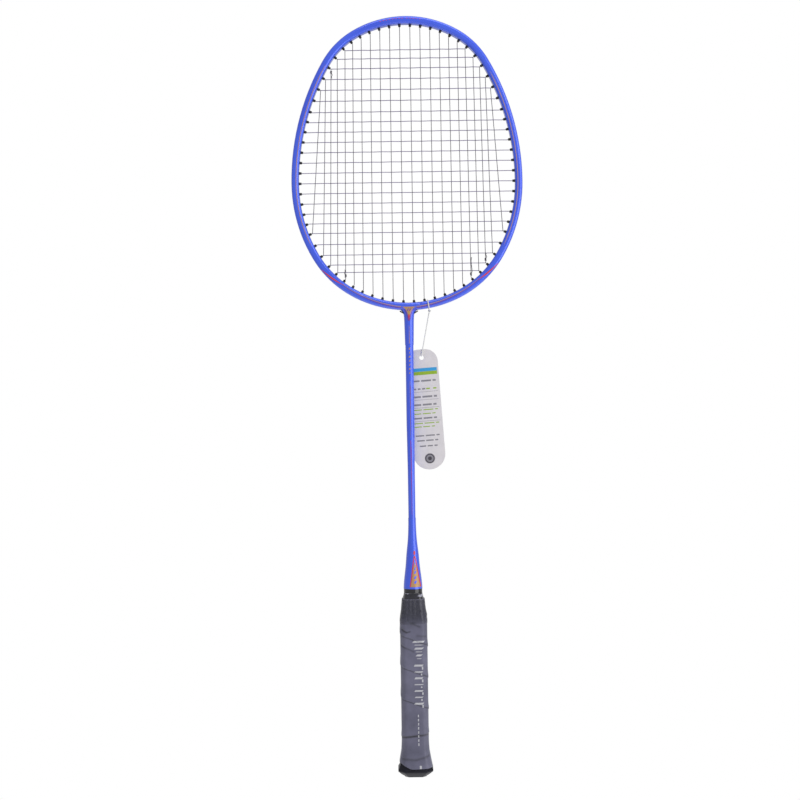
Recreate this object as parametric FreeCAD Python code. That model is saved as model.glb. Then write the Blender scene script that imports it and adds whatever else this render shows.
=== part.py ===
"""Badminton racket: a hollow strung head, a throat joint, a thin shaft, an octagonal handle and a hang tag.

Frame: millimetres. The origin is the centre of the butt's end face, +Z runs along the shaft to the tip of
the head, +X is to the right and -Y faces the viewer, so the strings lie in the plane y = 0.
Each sub-part is written to its own STEP file.
"""
import FreeCAD, Part
import math
import os

Vector = FreeCAD.Vector
X_AXIS = Vector(1, 0, 0)
Y_AXIS = Vector(0, 1, 0)
Z_AXIS = Vector(0, 0, 1)

# ---- overall sizes ----
racket_length = 675.0
head_width = 205.4

# ---- head outline, from the tip down one side: (turn in degrees, radius as a share of the head's width) ----
head_arcs = ((30, 0.4577), (30, 0.3549), (30, 1.0541), (30, 0.6476), (30, 0.4421))

# ---- head frame section: u runs inwards from the outer edge, y is the depth ----
frame_width = 6.6
frame_depth = 10.0
frame_corner = 2.5
frame_wall = 1.0
groove_width = 4.0
groove_depth = 2.0
groove_corner = 0.4

# ---- stringing ----
string_diameter = 0.68
string_gap = 0.02
string_lift = 0.19
main_count_per_side = 11
cross_count = 23
first_cross_hole = 7
outer_main_bottom_hole = 25
first_hole_gap = 4.7
hole_line_inset = 7.5
hole_zones = ((6, 9.2), (6, 10.7), (12, 9.27), (3, 11.1), (8, 9.45))
groove_bend = 0.9
nose_bend = 1.3
nose_reach = 0.9
knot_length = 2.6
knot_radius = 1.15
knot_from_nose = 1.8

# ---- grommets ----
grommet_bore = 0.8
barrel_radius = 1.3
barrel_clearance = 0.05
nose_length = 2.2
nose_tip_radius = 1.05
flange_clearance = 0.15
flange_thickness = 0.45
flange_gap = 0.06

# ---- throat joint, shaft and the spigot that joins them to the head ----
throat_length = 31.0
throat_top_half_width = 7.4
throat_half_depth = 4.4
throat_seat = 1.5
throat_step = 0.15
throat_flare_power = 16
throat_shares = (0.0, 0.2, 0.4, 0.6, 0.72, 0.8, 0.86, 0.91, 0.95, 0.98, 1.0)
spigot_radius = 2.05
spigot_clearance = 0.05
spigot_length = 62.0
spigot_head_lip = 0.45
spigot_head_thickness = 1.4
shaft_top_radius = 3.6
shaft_low_radius = 3.15
shaft_full_length = 72.0
shaft_taper_length = 44.0
shaft_end_height = 85.0
shaft_clearance = 0.05

# ---- handle ----
core_half_width = 10.4
core_half_depth = 9.3
flat_share_x = 0.70
flat_share_y = 0.58
core_bottom = 6.0
core_shoulder_height = 136.0
core_neck_height = 158.0
core_neck_half_width = 7.6
core_top_height = 166.5
core_top_half_width = 6.2
core_spigot_radius = 5.6
core_spigot_length = 11.0
cone_length = 62.5
cone_base_wall = 0.8
cone_tip_wall = 0.25
band_step = 0.2
band_height = 4.0
tape_thickness = 1.3
grip_thickness = 1.8
grip_neck_thickness = 2.2
grip_bottom = 9.5
grip_top = 157.6
butt_flare = 5.2
butt_widest_height = 7.0
butt_chamfer = 6.3
butt_depth_step = 1.6
butt_skirt = 0.9
butt_skirt_top = 27.5
badge_radius = 7.0
badge_thickness = 0.8
badge_clearance = 0.1
staple_crown = 7.0
staple_wire = 0.8
staple_leg = 3.6
staple_height = 24.0

# ---- hang tag and the string that it hangs by ----
tag_width = 28.5
tag_length = 107.5
tag_thickness = 0.5
tag_hole_radius = 2.0
tag_hole_from_top = 7.4
tag_lean = 3.8
tag_gap = 0.3
tag_hang_x = 10.6
tag_hang_drop = 40.2
tag_string_diameter = 1.0
tag_string_gap = 0.15
tag_tie_share = 0.27
tie_knot_radius = 1.5
tie_knot_gap = 0.05
loop_gap = 0.12

# ---- sizes that follow from the ones above ----
string_radius = string_diameter / 2
string_offset = string_radius + string_gap / 2
flange_radius = groove_width / 2 - flange_clearance
flange_inset = groove_depth - flange_gap - flange_thickness
groove_line = flange_inset - string_lift - string_radius
nose_line = frame_width + nose_length + nose_reach
spigot_hole = spigot_radius + spigot_clearance
throat_base_radius = shaft_top_radius + throat_step
shaft_hole = shaft_low_radius + shaft_clearance
cone_base_radius = core_neck_half_width + cone_base_wall
cone_tip_radius = shaft_low_radius + cone_tip_wall
band_radius = cone_base_radius - band_step
butt_half_width = core_half_width + butt_flare
grip_half_width = core_half_width + grip_thickness
grip_half_depth = core_half_depth + grip_thickness
tag_string_radius = tag_string_diameter / 2


# ---------------------------------------------------------------- small helpers
def save(shape, name):
    """Write one sub-part to its STEP file."""
    shape.exportStep("parts/" + name + ".step")
    print(name, len(shape.Solids), "solids", round(shape.Volume, 1), "mm3")


def fuse_all(shapes):
    """One solid from pieces that share faces or overlap."""
    result = shapes[0].multiFuse(shapes[1:])
    return result.removeSplitter()


def rounded_edges(points, bends):
    """Straight runs joined by tangent arcs; bends holds the radius at each inner point."""
    edges = []
    start = points[0]
    for before, corner, after, bend in zip(points, points[1:], points[2:], bends):
        towards = (before - corner).normalize()
        away = (after - corner).normalize()
        half_turn = (math.pi - towards.getAngle(away)) / 2
        reach = bend * math.tan(half_turn)
        enter = corner + towards * reach
        leave = corner + away * reach
        middle = (towards + away).normalize()
        crown = corner + middle * (bend / math.cos(half_turn) - bend)
        if (enter - start).Length > 1e-6:
            edges.append(Part.LineSegment(start, enter).toShape())
        edges.append(Part.Arc(enter, crown, leave).toShape())
        start = leave
    edges.append(Part.LineSegment(start, points[-1]).toShape())
    return edges


def tube(points, bends, radius):
    """A round cord along straight runs and tangent arcs."""
    path = Part.Wire(rounded_edges(points, bends))
    heading = points[1] - points[0]
    section = Part.Wire(Part.makeCircle(radius, points[0], heading))
    solid = Part.Wire(path).makePipeShell([section], True, False)
    expected = math.pi * radius ** 2 * path.Length
    print("  tube length", round(path.Length, 1), "volume ratio", round(solid.Volume / expected, 4),
          "smallest bend", round(min(bends), 2))
    return solid


def rounded_face(corners):
    """A flat face from (point, radius) corners, each rounded by its own radius."""
    edges = []
    count = len(corners)
    ends = []
    for index, (corner, bend) in enumerate(corners):
        towards = (corners[index - 1][0] - corner).normalize()
        away = (corners[(index + 1) % count][0] - corner).normalize()
        half_turn = (math.pi - towards.getAngle(away)) / 2
        reach = bend * math.tan(half_turn)
        crown = corner + (towards + away).normalize() * (bend / math.cos(half_turn) - bend)
        ends.append((corner + towards * reach, crown, corner + away * reach))
    for index, (enter, crown, leave) in enumerate(ends):
        edges.append(Part.Arc(enter, crown, leave).toShape())
        following = ends[(index + 1) % count][0]
        edges.append(Part.LineSegment(leave, following).toShape())
    return Part.Face(Part.Wire(edges))


# ---------------------------------------------------------------- the head's outline
def head_segments():
    """The right half of the outer outline: (centre x, centre z, radius, heading, turn) for each arc."""
    segments = []
    heading = 0.0
    x = 0.0
    z = racket_length
    for turn_degrees, share in head_arcs:
        turn = math.radians(turn_degrees)
        radius = share * head_width
        centre_x = x - math.sin(heading) * radius
        centre_z = z - math.cos(heading) * radius
        segments.append((centre_x, centre_z, radius, heading, turn))
        heading += turn
        x = centre_x + radius * math.sin(heading)
        z = centre_z + radius * math.cos(heading)
    radius = x / math.sin(heading)
    centre_z = z - math.cos(heading) * radius
    segments.append((0.0, centre_z, radius, heading, math.pi - heading))
    return segments


SEGMENTS = head_segments()
HEAD_BOTTOM = SEGMENTS[-1][1] - SEGMENTS[-1][2]


def head_path_length(inset):
    """Length of half the outline, moved inwards by inset."""
    return sum((radius - inset) * turn for _, _, radius, _, turn in SEGMENTS)


def heading_at(distance, inset):
    """The arc, and the direction of travel on it, at a distance from the tip along the inset outline."""
    for segment in SEGMENTS:
        _, _, radius, heading, turn = segment
        length = (radius - inset) * turn
        if distance <= length:
            return segment, heading + distance / (radius - inset)
        distance -= length
    return SEGMENTS[-1], math.pi


def head_point(segment, heading, inset, y=0.0, side=1):
    """A point on the arc, moved inwards by inset; side -1 is the left half."""
    centre_x, centre_z, radius, _, _ = segment
    x = centre_x + (radius - inset) * math.sin(heading)
    z = centre_z + (radius - inset) * math.cos(heading)
    return Vector(side * x, y, z)


def hole_places():
    """Where the grommet holes lie down one side, as (arc, heading) pairs; hole 1 is next to the tip."""
    steps = [pitch for count, pitch in hole_zones for _ in range(count)]
    natural = 2 * first_hole_gap + sum(steps)
    stretch = head_path_length(hole_line_inset) / natural
    distance = first_hole_gap * stretch
    places = [heading_at(distance, hole_line_inset)]
    for step in steps:
        distance += step * stretch
        places.append(heading_at(distance, hole_line_inset))
    return places


HOLES = hole_places()


# ---------------------------------------------------------------- head frame
def section_corners(corner_list, segment):
    """Place section corners (u, y, radius) at the start of an arc of the outline."""
    heading = segment[3]
    return [(head_point(segment, heading, u, y), bend) for u, y, bend in corner_list]


def swept_ring(corner_list):
    """Turn a section round every arc of the outline, both halves, into one ring."""
    pieces = []
    for segment in SEGMENTS:
        centre = Vector(segment[0], 0, segment[1])
        face = rounded_face(section_corners(corner_list, segment))
        piece = face.revolve(centre, Y_AXIS, math.degrees(segment[4]))
        pieces.append(piece)
        pieces.append(piece.mirror(Vector(0, 0, 0), X_AXIS))
    return fuse_all(pieces)


def frame_outline(with_groove):
    """Corners of the frame's outer section, with or without the string groove."""
    half_depth = frame_depth / 2
    half_groove = groove_width / 2
    corners = [(0, half_depth, frame_corner), (frame_width, half_depth, frame_corner),
               (frame_width, -half_depth, frame_corner), (0, -half_depth, frame_corner)]
    if with_groove:
        corners += [(0, -half_groove, groove_corner), (groove_depth, -half_groove, groove_corner),
                    (groove_depth, half_groove, groove_corner), (0, half_groove, groove_corner)]
    return corners


def cavity_outline():
    """Corners of the hollow inside the frame's section."""
    half_depth = frame_depth / 2 - frame_wall
    bend = frame_corner - frame_wall
    near = groove_depth + frame_wall
    far = frame_width - frame_wall
    bend = min(bend, (far - near) / 2 - 0.1)
    return [(near, half_depth, bend), (far, half_depth, bend),
            (far, -half_depth, bend), (near, -half_depth, bend)]


def hole_frame(place, side, inset):
    """A point on a hole's axis and the inward direction of that axis."""
    segment, heading = place
    point = head_point(segment, heading, inset, 0, side)
    inward = Vector(-side * math.sin(heading), 0, -math.cos(heading))
    return point, inward


def both_sides(make):
    """Call make(place, side) for all the holes, tip to throat, right then left."""
    return [make(place, side) for side in (1, -1) for place in HOLES]


def grommet_hole(place, side):
    """The drilling for one grommet barrel."""
    start, inward = hole_frame(place, side, -1.0)
    return Part.makeCylinder(barrel_radius + barrel_clearance, frame_width + 2.0, start, inward)


def head_frame(envelope_cavity):
    """The hollow head, drilled for its grommets and for the throat spigot."""
    ring = swept_ring(frame_outline(True)).cut(envelope_cavity)
    drillings = both_sides(grommet_hole)
    depth = groove_depth + frame_wall + 1.5
    start = Vector(0, 0, HEAD_BOTTOM - 1.0)
    drillings.append(Part.makeCylinder(spigot_hole, depth, start, Z_AXIS))
    return ring.cut(Part.makeCompound(drillings))


# ---------------------------------------------------------------- grommets
def grommet(place, side):
    """A nylon sleeve: flange in the groove, barrel through the frame, tapered nose inside the head."""
    base, inward = hole_frame(place, side, flange_inset)
    barrel_length = frame_width - flange_inset
    flange = Part.makeCylinder(flange_radius, flange_thickness, base, inward)
    barrel = Part.makeCylinder(barrel_radius, barrel_length, base, inward)
    nose_base = base + inward * barrel_length
    nose = Part.makeCone(barrel_radius, nose_tip_radius, nose_length, nose_base, inward)
    body = fuse_all([flange, barrel, nose])
    bore = Part.makeCylinder(grommet_bore, barrel_length + nose_length + 2.0, base - inward, inward)
    return body.cut(bore)


def grommet_group(first, last, sides=(1, -1)):
    """The grommets of holes first to last, as a group of separate solids."""
    return Part.makeCompound([grommet(HOLES[index - 1], side)
                              for side in sides for index in range(first, last + 1)])


# ---------------------------------------------------------------- strings
def string_stop(place, side, y, inset):
    """A point of a string's route on the axis of a hole."""
    point, _ = hole_frame(place, side, inset)
    return Vector(point.x, y, point.z)


def string_route(pairs, y):
    """Route of a continuous string: each pair is (start hole, side, end hole, side) across the head."""
    points = []
    bends = []
    for first, first_side, last, last_side in pairs:
        for hole, side, order in ((first, first_side, (groove_line, nose_line)),
                                  (last, last_side, (nose_line, groove_line))):
            for inset in order:
                points.append(string_stop(HOLES[hole - 1], side, y, inset))
                bends.append(groove_bend if inset == groove_line else nose_bend)
    return points, bends[1:-1]


def main_string():
    """The long strings, one length threaded up and down the head from left to right."""
    pairs = []
    order = [(index, -1) for index in range(main_count_per_side, 0, -1)]
    order += [(index, 1) for index in range(1, main_count_per_side + 1)]
    for count, (index, side) in enumerate(order):
        top = index
        bottom = len(HOLES) + 1 - index
        if index == main_count_per_side:
            bottom = outer_main_bottom_hole
        if count % 2 == 0:
            pairs.append((bottom, side, top, side))
        else:
            pairs.append((top, side, bottom, side))
    points, bends = string_route(pairs, -string_offset)
    return tube(points, bends, string_radius)


def cross_string():
    """The short strings, one length threaded from side to side, tip to throat."""
    pairs = []
    for index in range(cross_count):
        hole = first_cross_hole + index
        side = 1 if index % 2 else -1
        pairs.append((hole, side, hole, -side))
    points, bends = string_route(pairs, string_offset)
    return tube(points, bends, string_radius)


def tie_knot(hole, side, along):
    """A tie-off knot clamped round the string that leaves a hole, as a waisted bead."""
    y = -string_offset
    start = string_stop(HOLES[hole - 1], side, y, nose_line)
    place = start + along * knot_from_nose
    hold = string_radius + string_gap
    waist = knot_radius * 0.8
    outline = [Vector(hold, 0, 0), Vector(knot_radius, 0, 0), Vector(waist, 0, knot_length / 2),
               Vector(knot_radius, 0, knot_length), Vector(hold, 0, knot_length)]
    face = Part.Face(Part.makePolygon(outline + outline[:1]))
    bead = face.revolve(Vector(0, 0, 0), Z_AXIS, 360)
    bead.Placement = FreeCAD.Placement(place, FreeCAD.Rotation(Z_AXIS, along))
    return bead


def main_direction(index, side, upwards):
    """Unit vector along a long string, from one of its two holes into the head."""
    bottom_hole = len(HOLES) + 1 - index
    top = string_stop(HOLES[index - 1], side, 0, nose_line)
    bottom = string_stop(HOLES[bottom_hole - 1], side, 0, nose_line)
    direction = (top - bottom).normalize()
    return direction if upwards else direction * -1


def string_knots():
    """Four tie-off knots: the short strings' ends by the shoulders, the long strings' by the throat."""
    knots = [tie_knot(9, -1, main_direction(9, -1, False)),
             tie_knot(28, 1, main_direction(9, 1, True)),
             tie_knot(30, -1, main_direction(7, -1, True)),
             tie_knot(30, 1, main_direction(7, 1, True))]
    return Part.makeCompound(knots)


# ---------------------------------------------------------------- throat, shaft and spigot
def oval(z, half_x, half_y):
    """An ellipse in a level plane, no deeper than it is wide."""
    curve = Part.Ellipse(Vector(0, 0, z), half_x, min(half_y, half_x * 0.999))
    return Part.Wire(curve.toShape())


def throat_joint(frame_envelope):
    """The moulded fairing that carries the head on the shaft, cut to seat on the frame."""
    base = HEAD_BOTTOM - throat_length
    stem = throat_base_radius
    ovals = []
    for share in throat_shares:
        half_x = stem * (1.03 + 0.17 * share)
        half_x += (throat_top_half_width - 1.2 * stem) * share ** throat_flare_power
        half_y = stem + (throat_half_depth - stem) * share
        ovals.append(oval(base + share * throat_length, half_x, half_y))
    ovals.append(oval(HEAD_BOTTOM + throat_seat, throat_top_half_width + throat_seat, throat_half_depth))
    body = Part.makeLoft(ovals, True, True).cut(frame_envelope)
    bore = Part.makeCylinder(spigot_hole, throat_length + 4.0, Vector(0, 0, base - 1.0), Z_AXIS)
    return body.cut(bore)


def throat_spigot():
    """The pin inside the throat: it is glued into the shaft and its head is held in the frame's hollow."""
    top = HEAD_BOTTOM + groove_depth + frame_wall
    pin = Part.makeCylinder(spigot_radius, spigot_length, Vector(0, 0, top - spigot_length), Z_AXIS)
    head_base = top + 0.05
    head = Part.makeCylinder(spigot_radius + spigot_head_lip, spigot_head_thickness,
                             Vector(0, 0, head_base), Z_AXIS)
    neck = Part.makeCylinder(spigot_radius, 0.2, Vector(0, 0, top - 0.1), Z_AXIS)
    return fuse_all([pin, neck, head])


def lathe(outline):
    """Turn a closed (radius, height) outline round the shaft's axis."""
    points = [Vector(radius, 0, height) for radius, height in outline]
    face = Part.Face(Part.makePolygon(points + points[:1]))
    return face.revolve(Vector(0, 0, 0), Z_AXIS, 360)


def shaft():
    """A thin tube, slightly slimmer below its middle, glued into the handle."""
    top = HEAD_BOTTOM - throat_length
    outline = [(spigot_hole, shaft_end_height), (shaft_low_radius, shaft_end_height),
               (shaft_low_radius, top - shaft_full_length - shaft_taper_length),
               (shaft_top_radius, top - shaft_full_length), (shaft_top_radius, top), (spigot_hole, top)]
    return lathe(outline)


# ---------------------------------------------------------------- handle
def octagon(z, half_x, half_y):
    """The handle's eight-sided section at a height."""
    flat_x = half_x * flat_share_x
    flat_y = half_y * flat_share_y
    corners = [(half_x, -flat_y), (half_x, flat_y), (flat_x, half_y), (-flat_x, half_y),
               (-half_x, flat_y), (-half_x, -flat_y), (-flat_x, -half_y), (flat_x, -half_y)]
    points = [Vector(x, y, z) for x, y in corners]
    return Part.makePolygon(points + points[:1])


def octagon_loft(stations):
    """Straight-sided loft through (height, half width, half depth) stations."""
    return Part.makeLoft([octagon(z, half_x, half_y) for z, half_x, half_y in stations], True, True)


def depth_of(half_width):
    """Half depth that goes with a half width, in the core's proportions."""
    return half_width * core_half_depth / core_half_width


def core_stations(grow=0.0, bottom=core_bottom, top=core_top_height):
    """Stations of the handle core's outside, grown all round by a thickness."""
    shape = [(bottom, core_half_width), (core_shoulder_height, core_half_width),
             (core_neck_height, core_neck_half_width), (top, core_top_half_width)]
    return [(z, half + grow, depth_of(half) + grow) for z, half in shape]


def core_body():
    """The wooden core before it is bored: eight-sided, with a tapered neck and a round spigot on top."""
    body = octagon_loft(core_stations())
    spigot = Part.makeCylinder(core_spigot_radius, core_spigot_length, Vector(0, 0, core_top_height), Z_AXIS)
    return fuse_all([body, spigot])


def handle_core(body, staple_group):
    """The core, bored for the shaft and split by the staples' legs."""
    bore = Part.makeCylinder(shaft_hole, racket_length, Vector(0, 0, shaft_end_height - 0.5), Z_AXIS)
    return body.cut(bore).cut(staple_group)


def cone_cap():
    """The moulded cone that runs from the shaft down to the handle's full neck."""
    top = core_top_height + cone_length
    span = cone_base_radius - cone_tip_radius
    shape = [(0.0, 1.0), (0.15, 0.85), (0.32, 0.59), (0.49, 0.41), (0.66, 0.17), (0.82, 0.04), (1.0, 0.0)]
    curve = Part.BSplineCurve()
    curve.interpolate([Vector(cone_tip_radius + share * span, 0, core_top_height + height * cone_length)
                       for height, share in shape])
    side = curve.toShape()
    corner_low = Vector(0, 0, core_top_height)
    corner_high = Vector(0, 0, top)
    edges = [side, Part.LineSegment(Vector(cone_tip_radius, 0, top), corner_high).toShape(),
             Part.LineSegment(corner_high, corner_low).toShape(),
             Part.LineSegment(corner_low, Vector(cone_base_radius, 0, core_top_height)).toShape()]
    body = Part.Face(Part.Wire(Part.__sortEdges__(edges))).revolve(Vector(0, 0, 0), Z_AXIS, 360)
    socket = Part.makeCylinder(core_spigot_radius + shaft_clearance, core_spigot_length + 0.5,
                               Vector(0, 0, core_top_height - 0.1), Z_AXIS)
    bore = Part.makeCylinder(shaft_hole, cone_length + 2, Vector(0, 0, core_top_height - 1), Z_AXIS)
    return body.cut(socket).cut(bore)


def collar_band(core):
    """The black ring between the cone and the grip."""
    start = Vector(0, 0, core_top_height - band_height)
    return Part.makeCylinder(band_radius, band_height - 0.02, start, Z_AXIS).cut(core)


def finishing_tape(core):
    """The tape that holds the upper end of the grip, between the grip and the band."""
    low = grip_top + 0.02
    high = core_top_height - band_height - 0.02
    neck_low = core_neck_half_width + tape_thickness
    neck_high = band_radius - 0.1
    body = octagon_loft([(low, neck_low, depth_of(neck_low) + 0.6), (high, neck_high, neck_high)])
    return body.cut(core)


def butt_depth(half_width):
    """Half depth of the butt for a half width."""
    return half_width - butt_depth_step


def grip_stations():
    """Stations of the grip's outside, from its lower edge over the butt to its upper edge."""
    flare = butt_half_width
    neck = core_neck_half_width + grip_neck_thickness
    return [(grip_bottom, flare - 0.1, butt_depth(flare - 0.1)),
            (grip_bottom + 4.5, flare - 1.3, butt_depth(flare - 1.3)),
            (grip_bottom + 13.5, grip_half_width + 0.4, grip_half_depth + 0.4),
            (butt_skirt_top + 4.0, grip_half_width, grip_half_depth),
            (core_shoulder_height + 2.5, grip_half_width, grip_half_depth),
            (core_shoulder_height + 11.0, grip_half_width - 1.4, grip_half_depth - 1.2),
            (grip_top, neck, depth_of(neck))]


def butt_outside():
    """Stations of the butt cap, from its end face up to the skirt that the grip covers."""
    flare = butt_half_width
    seat = flare - grip_thickness
    skirt = core_half_width + butt_skirt
    skirt_depth = core_half_depth + butt_skirt
    return [(0.0, flare - butt_chamfer, butt_depth(flare - butt_chamfer)),
            (0.4 * butt_widest_height, flare - 2.2, butt_depth(flare - 2.2)),
            (butt_widest_height, flare, butt_depth(flare)),
            (grip_bottom - 0.2, flare - 0.1, butt_depth(flare - 0.1)),
            (grip_bottom, seat, butt_depth(seat)),
            (grip_bottom + 4.5, seat - 1.2, butt_depth(seat - 1.2)),
            (grip_bottom + 13.5, skirt, skirt_depth), (butt_skirt_top, skirt, skirt_depth)]


def staple(side):
    """A wire staple through the butt cap's skirt into the core, its crown upright."""
    x = side * (core_half_width + butt_skirt - staple_wire / 2)
    low = staple_height - staple_crown / 2
    crown = Part.makeBox(staple_wire, staple_wire, staple_crown,
                         Vector(x - staple_wire / 2, -staple_wire / 2, low))
    pieces = [crown]
    for z in (low, low + staple_crown - staple_wire):
        leg_start = x - staple_leg if side > 0 else x
        pieces.append(Part.makeBox(staple_leg, staple_wire, staple_wire,
                                   Vector(leg_start, -staple_wire / 2, z)))
    return fuse_all(pieces)


def badge_recess(extra):
    """The round recess for the badge in the butt's end face, or the badge itself."""
    return Part.makeCylinder(badge_radius + extra, badge_thickness + extra, Vector(0, 0, 0), Z_AXIS)


# ---------------------------------------------------------------- hang tag
def tag_plane_y():
    """The tag's middle plane: it rests behind the shaft."""
    return shaft_top_radius + tag_gap + tag_thickness / 2


def tag_hang_point():
    """The middle of the string where the tag hangs on it."""
    knot = tie_knot_centre()
    return Vector(tag_hang_x, tag_plane_y(), knot.z - tag_hang_drop)


def tie_segment():
    """The place on the head's outline where the tag's string is tied, between the last holes but one."""
    segment, near = HOLES[-2]
    far = HOLES[-3][1]
    return segment, near + tag_tie_share * (far - near)


def tie_knot_centre():
    """The centre of the tag string's knot, under the frame's rear edge: the string swings about it."""
    segment, heading = tie_segment()
    past_corner = tag_plane_y() - (frame_depth / 2 - frame_corner)
    reach = frame_corner + loop_gap + tag_string_diameter + tie_knot_gap + tie_knot_radius
    inset = frame_corner - math.sqrt(reach ** 2 - past_corner ** 2)
    return head_point(segment, heading, inset, tag_plane_y())


def hang_tag():
    """A card with round ends and a punched hole, leaning a little from the shaft."""
    hang = tag_hang_point()
    half = tag_width / 2
    hole_z = -(tag_hole_radius - tag_string_radius - tag_string_gap)
    top = hole_z + tag_hole_from_top
    bottom = top - tag_length
    y = -tag_thickness / 2
    corners = [(Vector(half, y, top), half * 0.8), (Vector(half, y, bottom), half * 0.98),
               (Vector(-half, y, bottom), half * 0.98), (Vector(-half, y, top), half * 0.8)]
    card = rounded_face(corners).extrude(Y_AXIS * tag_thickness)
    hole = Part.makeCylinder(tag_hole_radius, tag_thickness + 2, Vector(0, y - 1, hole_z), Y_AXIS)
    card = card.cut(hole)
    card.rotate(Vector(0, 0, 0), Y_AXIS, -tag_lean)
    card.translate(hang)
    return card


def tag_cord():
    """The two strands from the knot through the tag's hole, as one folded length."""
    knot = tie_knot_centre()
    hang = tag_hang_point()
    spread = tag_thickness / 2 + tag_string_gap + tag_string_radius
    fold = spread * 0.98
    front_low = hang + Vector(0, -spread, 0)
    back_low = hang + Vector(0, spread, 0)
    start = tie_knot_radius + tag_string_gap
    along = (hang - knot).normalize()
    apart = Vector(0, tag_string_radius + tag_string_gap / 2, 0)
    front_top = knot + along * start - apart
    back_top = knot + along * start + apart
    print("tag cord")
    return tube([front_top, front_low, back_low, back_top], [fold, fold], tag_string_radius)


def tag_loop():
    """The string round the head's frame, closed on itself."""
    segment, heading = tie_segment()
    reach = loop_gap + tag_string_radius
    half_depth = frame_depth / 2
    bend = frame_corner + reach
    corners = [(-reach, half_depth + reach), (frame_width + reach, half_depth + reach),
               (frame_width + reach, -half_depth - reach), (-reach, -half_depth - reach)]
    points = [head_point(segment, heading, u, y) for u, y in corners]
    low = head_point(segment, heading, -reach, 0)
    path = Part.Wire(rounded_edges([low] + points + [low], [bend] * 4))
    section = Part.Wire(Part.makeCircle(tag_string_radius, low, Y_AXIS))
    return path.makePipeShell([section], True, False)


def tag_knot():
    """The knot that ties the tag's string under the frame."""
    return Part.makeSphere(tie_knot_radius, tie_knot_centre())


# ---------------------------------------------------------------- build
os.makedirs("parts", exist_ok=True)
envelope = swept_ring(frame_outline(False))
cavity = swept_ring(cavity_outline())
core = core_body()
staples = [staple(1), staple(-1)]
staple_group = Part.makeCompound(staples)
cap = octagon_loft(butt_outside()).cut(octagon_loft(core_stations(0.05, core_bottom - 0.05)))
cap = cap.cut(staple_group).cut(badge_recess(badge_clearance))
inner_grip = octagon_loft(core_stations(0.05))
grip = octagon_loft(grip_stations()).cut(inner_grip).cut(octagon_loft(butt_outside()))

save(head_frame(cavity), "head_frame")
save(throat_joint(envelope), "throat_joint")
save(throat_spigot(), "throat_spigot")
save(shaft(), "shaft")
save(cone_cap(), "cone_cap")
save(collar_band(core), "collar_band")
save(finishing_tape(core), "finishing_tape")
save(grip, "grip_wrap")
save(handle_core(core, staple_group), "handle_core")
save(cap, "butt_cap")
save(staple_group, "butt_staples")
save(badge_recess(0.0), "butt_badge")
save(grommet_group(1, 6), "tip_grommets")
save(grommet_group(7, 11), "shoulder_grommets")
save(grommet_group(12, 24, (-1,)), "left_side_grommets")
save(grommet_group(12, 24, (1,)), "right_side_grommets")
save(grommet_group(25, 29), "lower_grommets")
save(grommet_group(30, 36), "throat_grommets")
save(main_string(), "main_string")
save(cross_string(), "cross_string")
save(string_knots(), "string_knots")
save(hang_tag(), "hang_tag")
save(tag_cord(), "tag_cord")
save(tag_loop(), "tag_loop")
save(tag_knot(), "tag_knot")
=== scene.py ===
import math

import bpy
from bpy.props import FloatProperty, FloatVectorProperty, IntProperty, PointerProperty
from mathutils import Matrix, Vector, noise
from mathutils.bvhtree import BVHTree


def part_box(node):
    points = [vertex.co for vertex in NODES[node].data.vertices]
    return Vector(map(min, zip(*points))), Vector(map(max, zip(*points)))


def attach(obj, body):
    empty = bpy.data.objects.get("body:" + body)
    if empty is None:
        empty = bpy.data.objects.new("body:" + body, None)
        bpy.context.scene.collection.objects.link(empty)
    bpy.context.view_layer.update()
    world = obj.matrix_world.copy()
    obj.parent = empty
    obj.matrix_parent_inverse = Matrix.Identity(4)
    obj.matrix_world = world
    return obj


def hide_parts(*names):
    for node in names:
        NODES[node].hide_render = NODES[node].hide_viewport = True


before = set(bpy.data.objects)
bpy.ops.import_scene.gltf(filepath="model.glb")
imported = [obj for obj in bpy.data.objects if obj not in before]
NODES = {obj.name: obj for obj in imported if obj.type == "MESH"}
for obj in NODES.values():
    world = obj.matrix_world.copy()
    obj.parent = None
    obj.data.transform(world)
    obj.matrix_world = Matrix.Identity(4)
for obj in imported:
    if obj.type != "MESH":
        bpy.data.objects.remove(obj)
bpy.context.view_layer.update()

bl_info = {
    "name": "Badminton Racket",
    "version": (1, 0, 0),
    "blender": (4, 5, 0),
    "location": "View3D > Sidebar > Racket",
    "description": "Strings, grip, lines, tag and stage for a badminton racket",
    "category": "Object",
}

MM = 0.001
BADGE_RADIUS = 7 * MM
THREAD_TWIST = 2.6 * MM  # rise of a ply in one turn
LOBE_DEPTH = 0.22  # of the thread's radius, between its plies


def paint(red, green, blue):
    """A colour given as 0 to 255 screen values, as the linear numbers that a shader takes."""
    return tuple(((c / 255 + 0.055) / 1.055) ** 2.4 if c > 10 else c / 255 / 12.92 for c in (red, green, blue))


# ------------------------------------------------------------------ sizes and colours
def length(label, description, value, lowest=0.0, highest=1.0):
    return FloatProperty(name=label, description=description, default=value, min=lowest, max=highest,
                         precision=5, unit="LENGTH")


def colour(label, description, value):
    return FloatVectorProperty(name=label, description=description, default=value, min=0, max=1, size=3,
                               subtype="COLOR")


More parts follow.
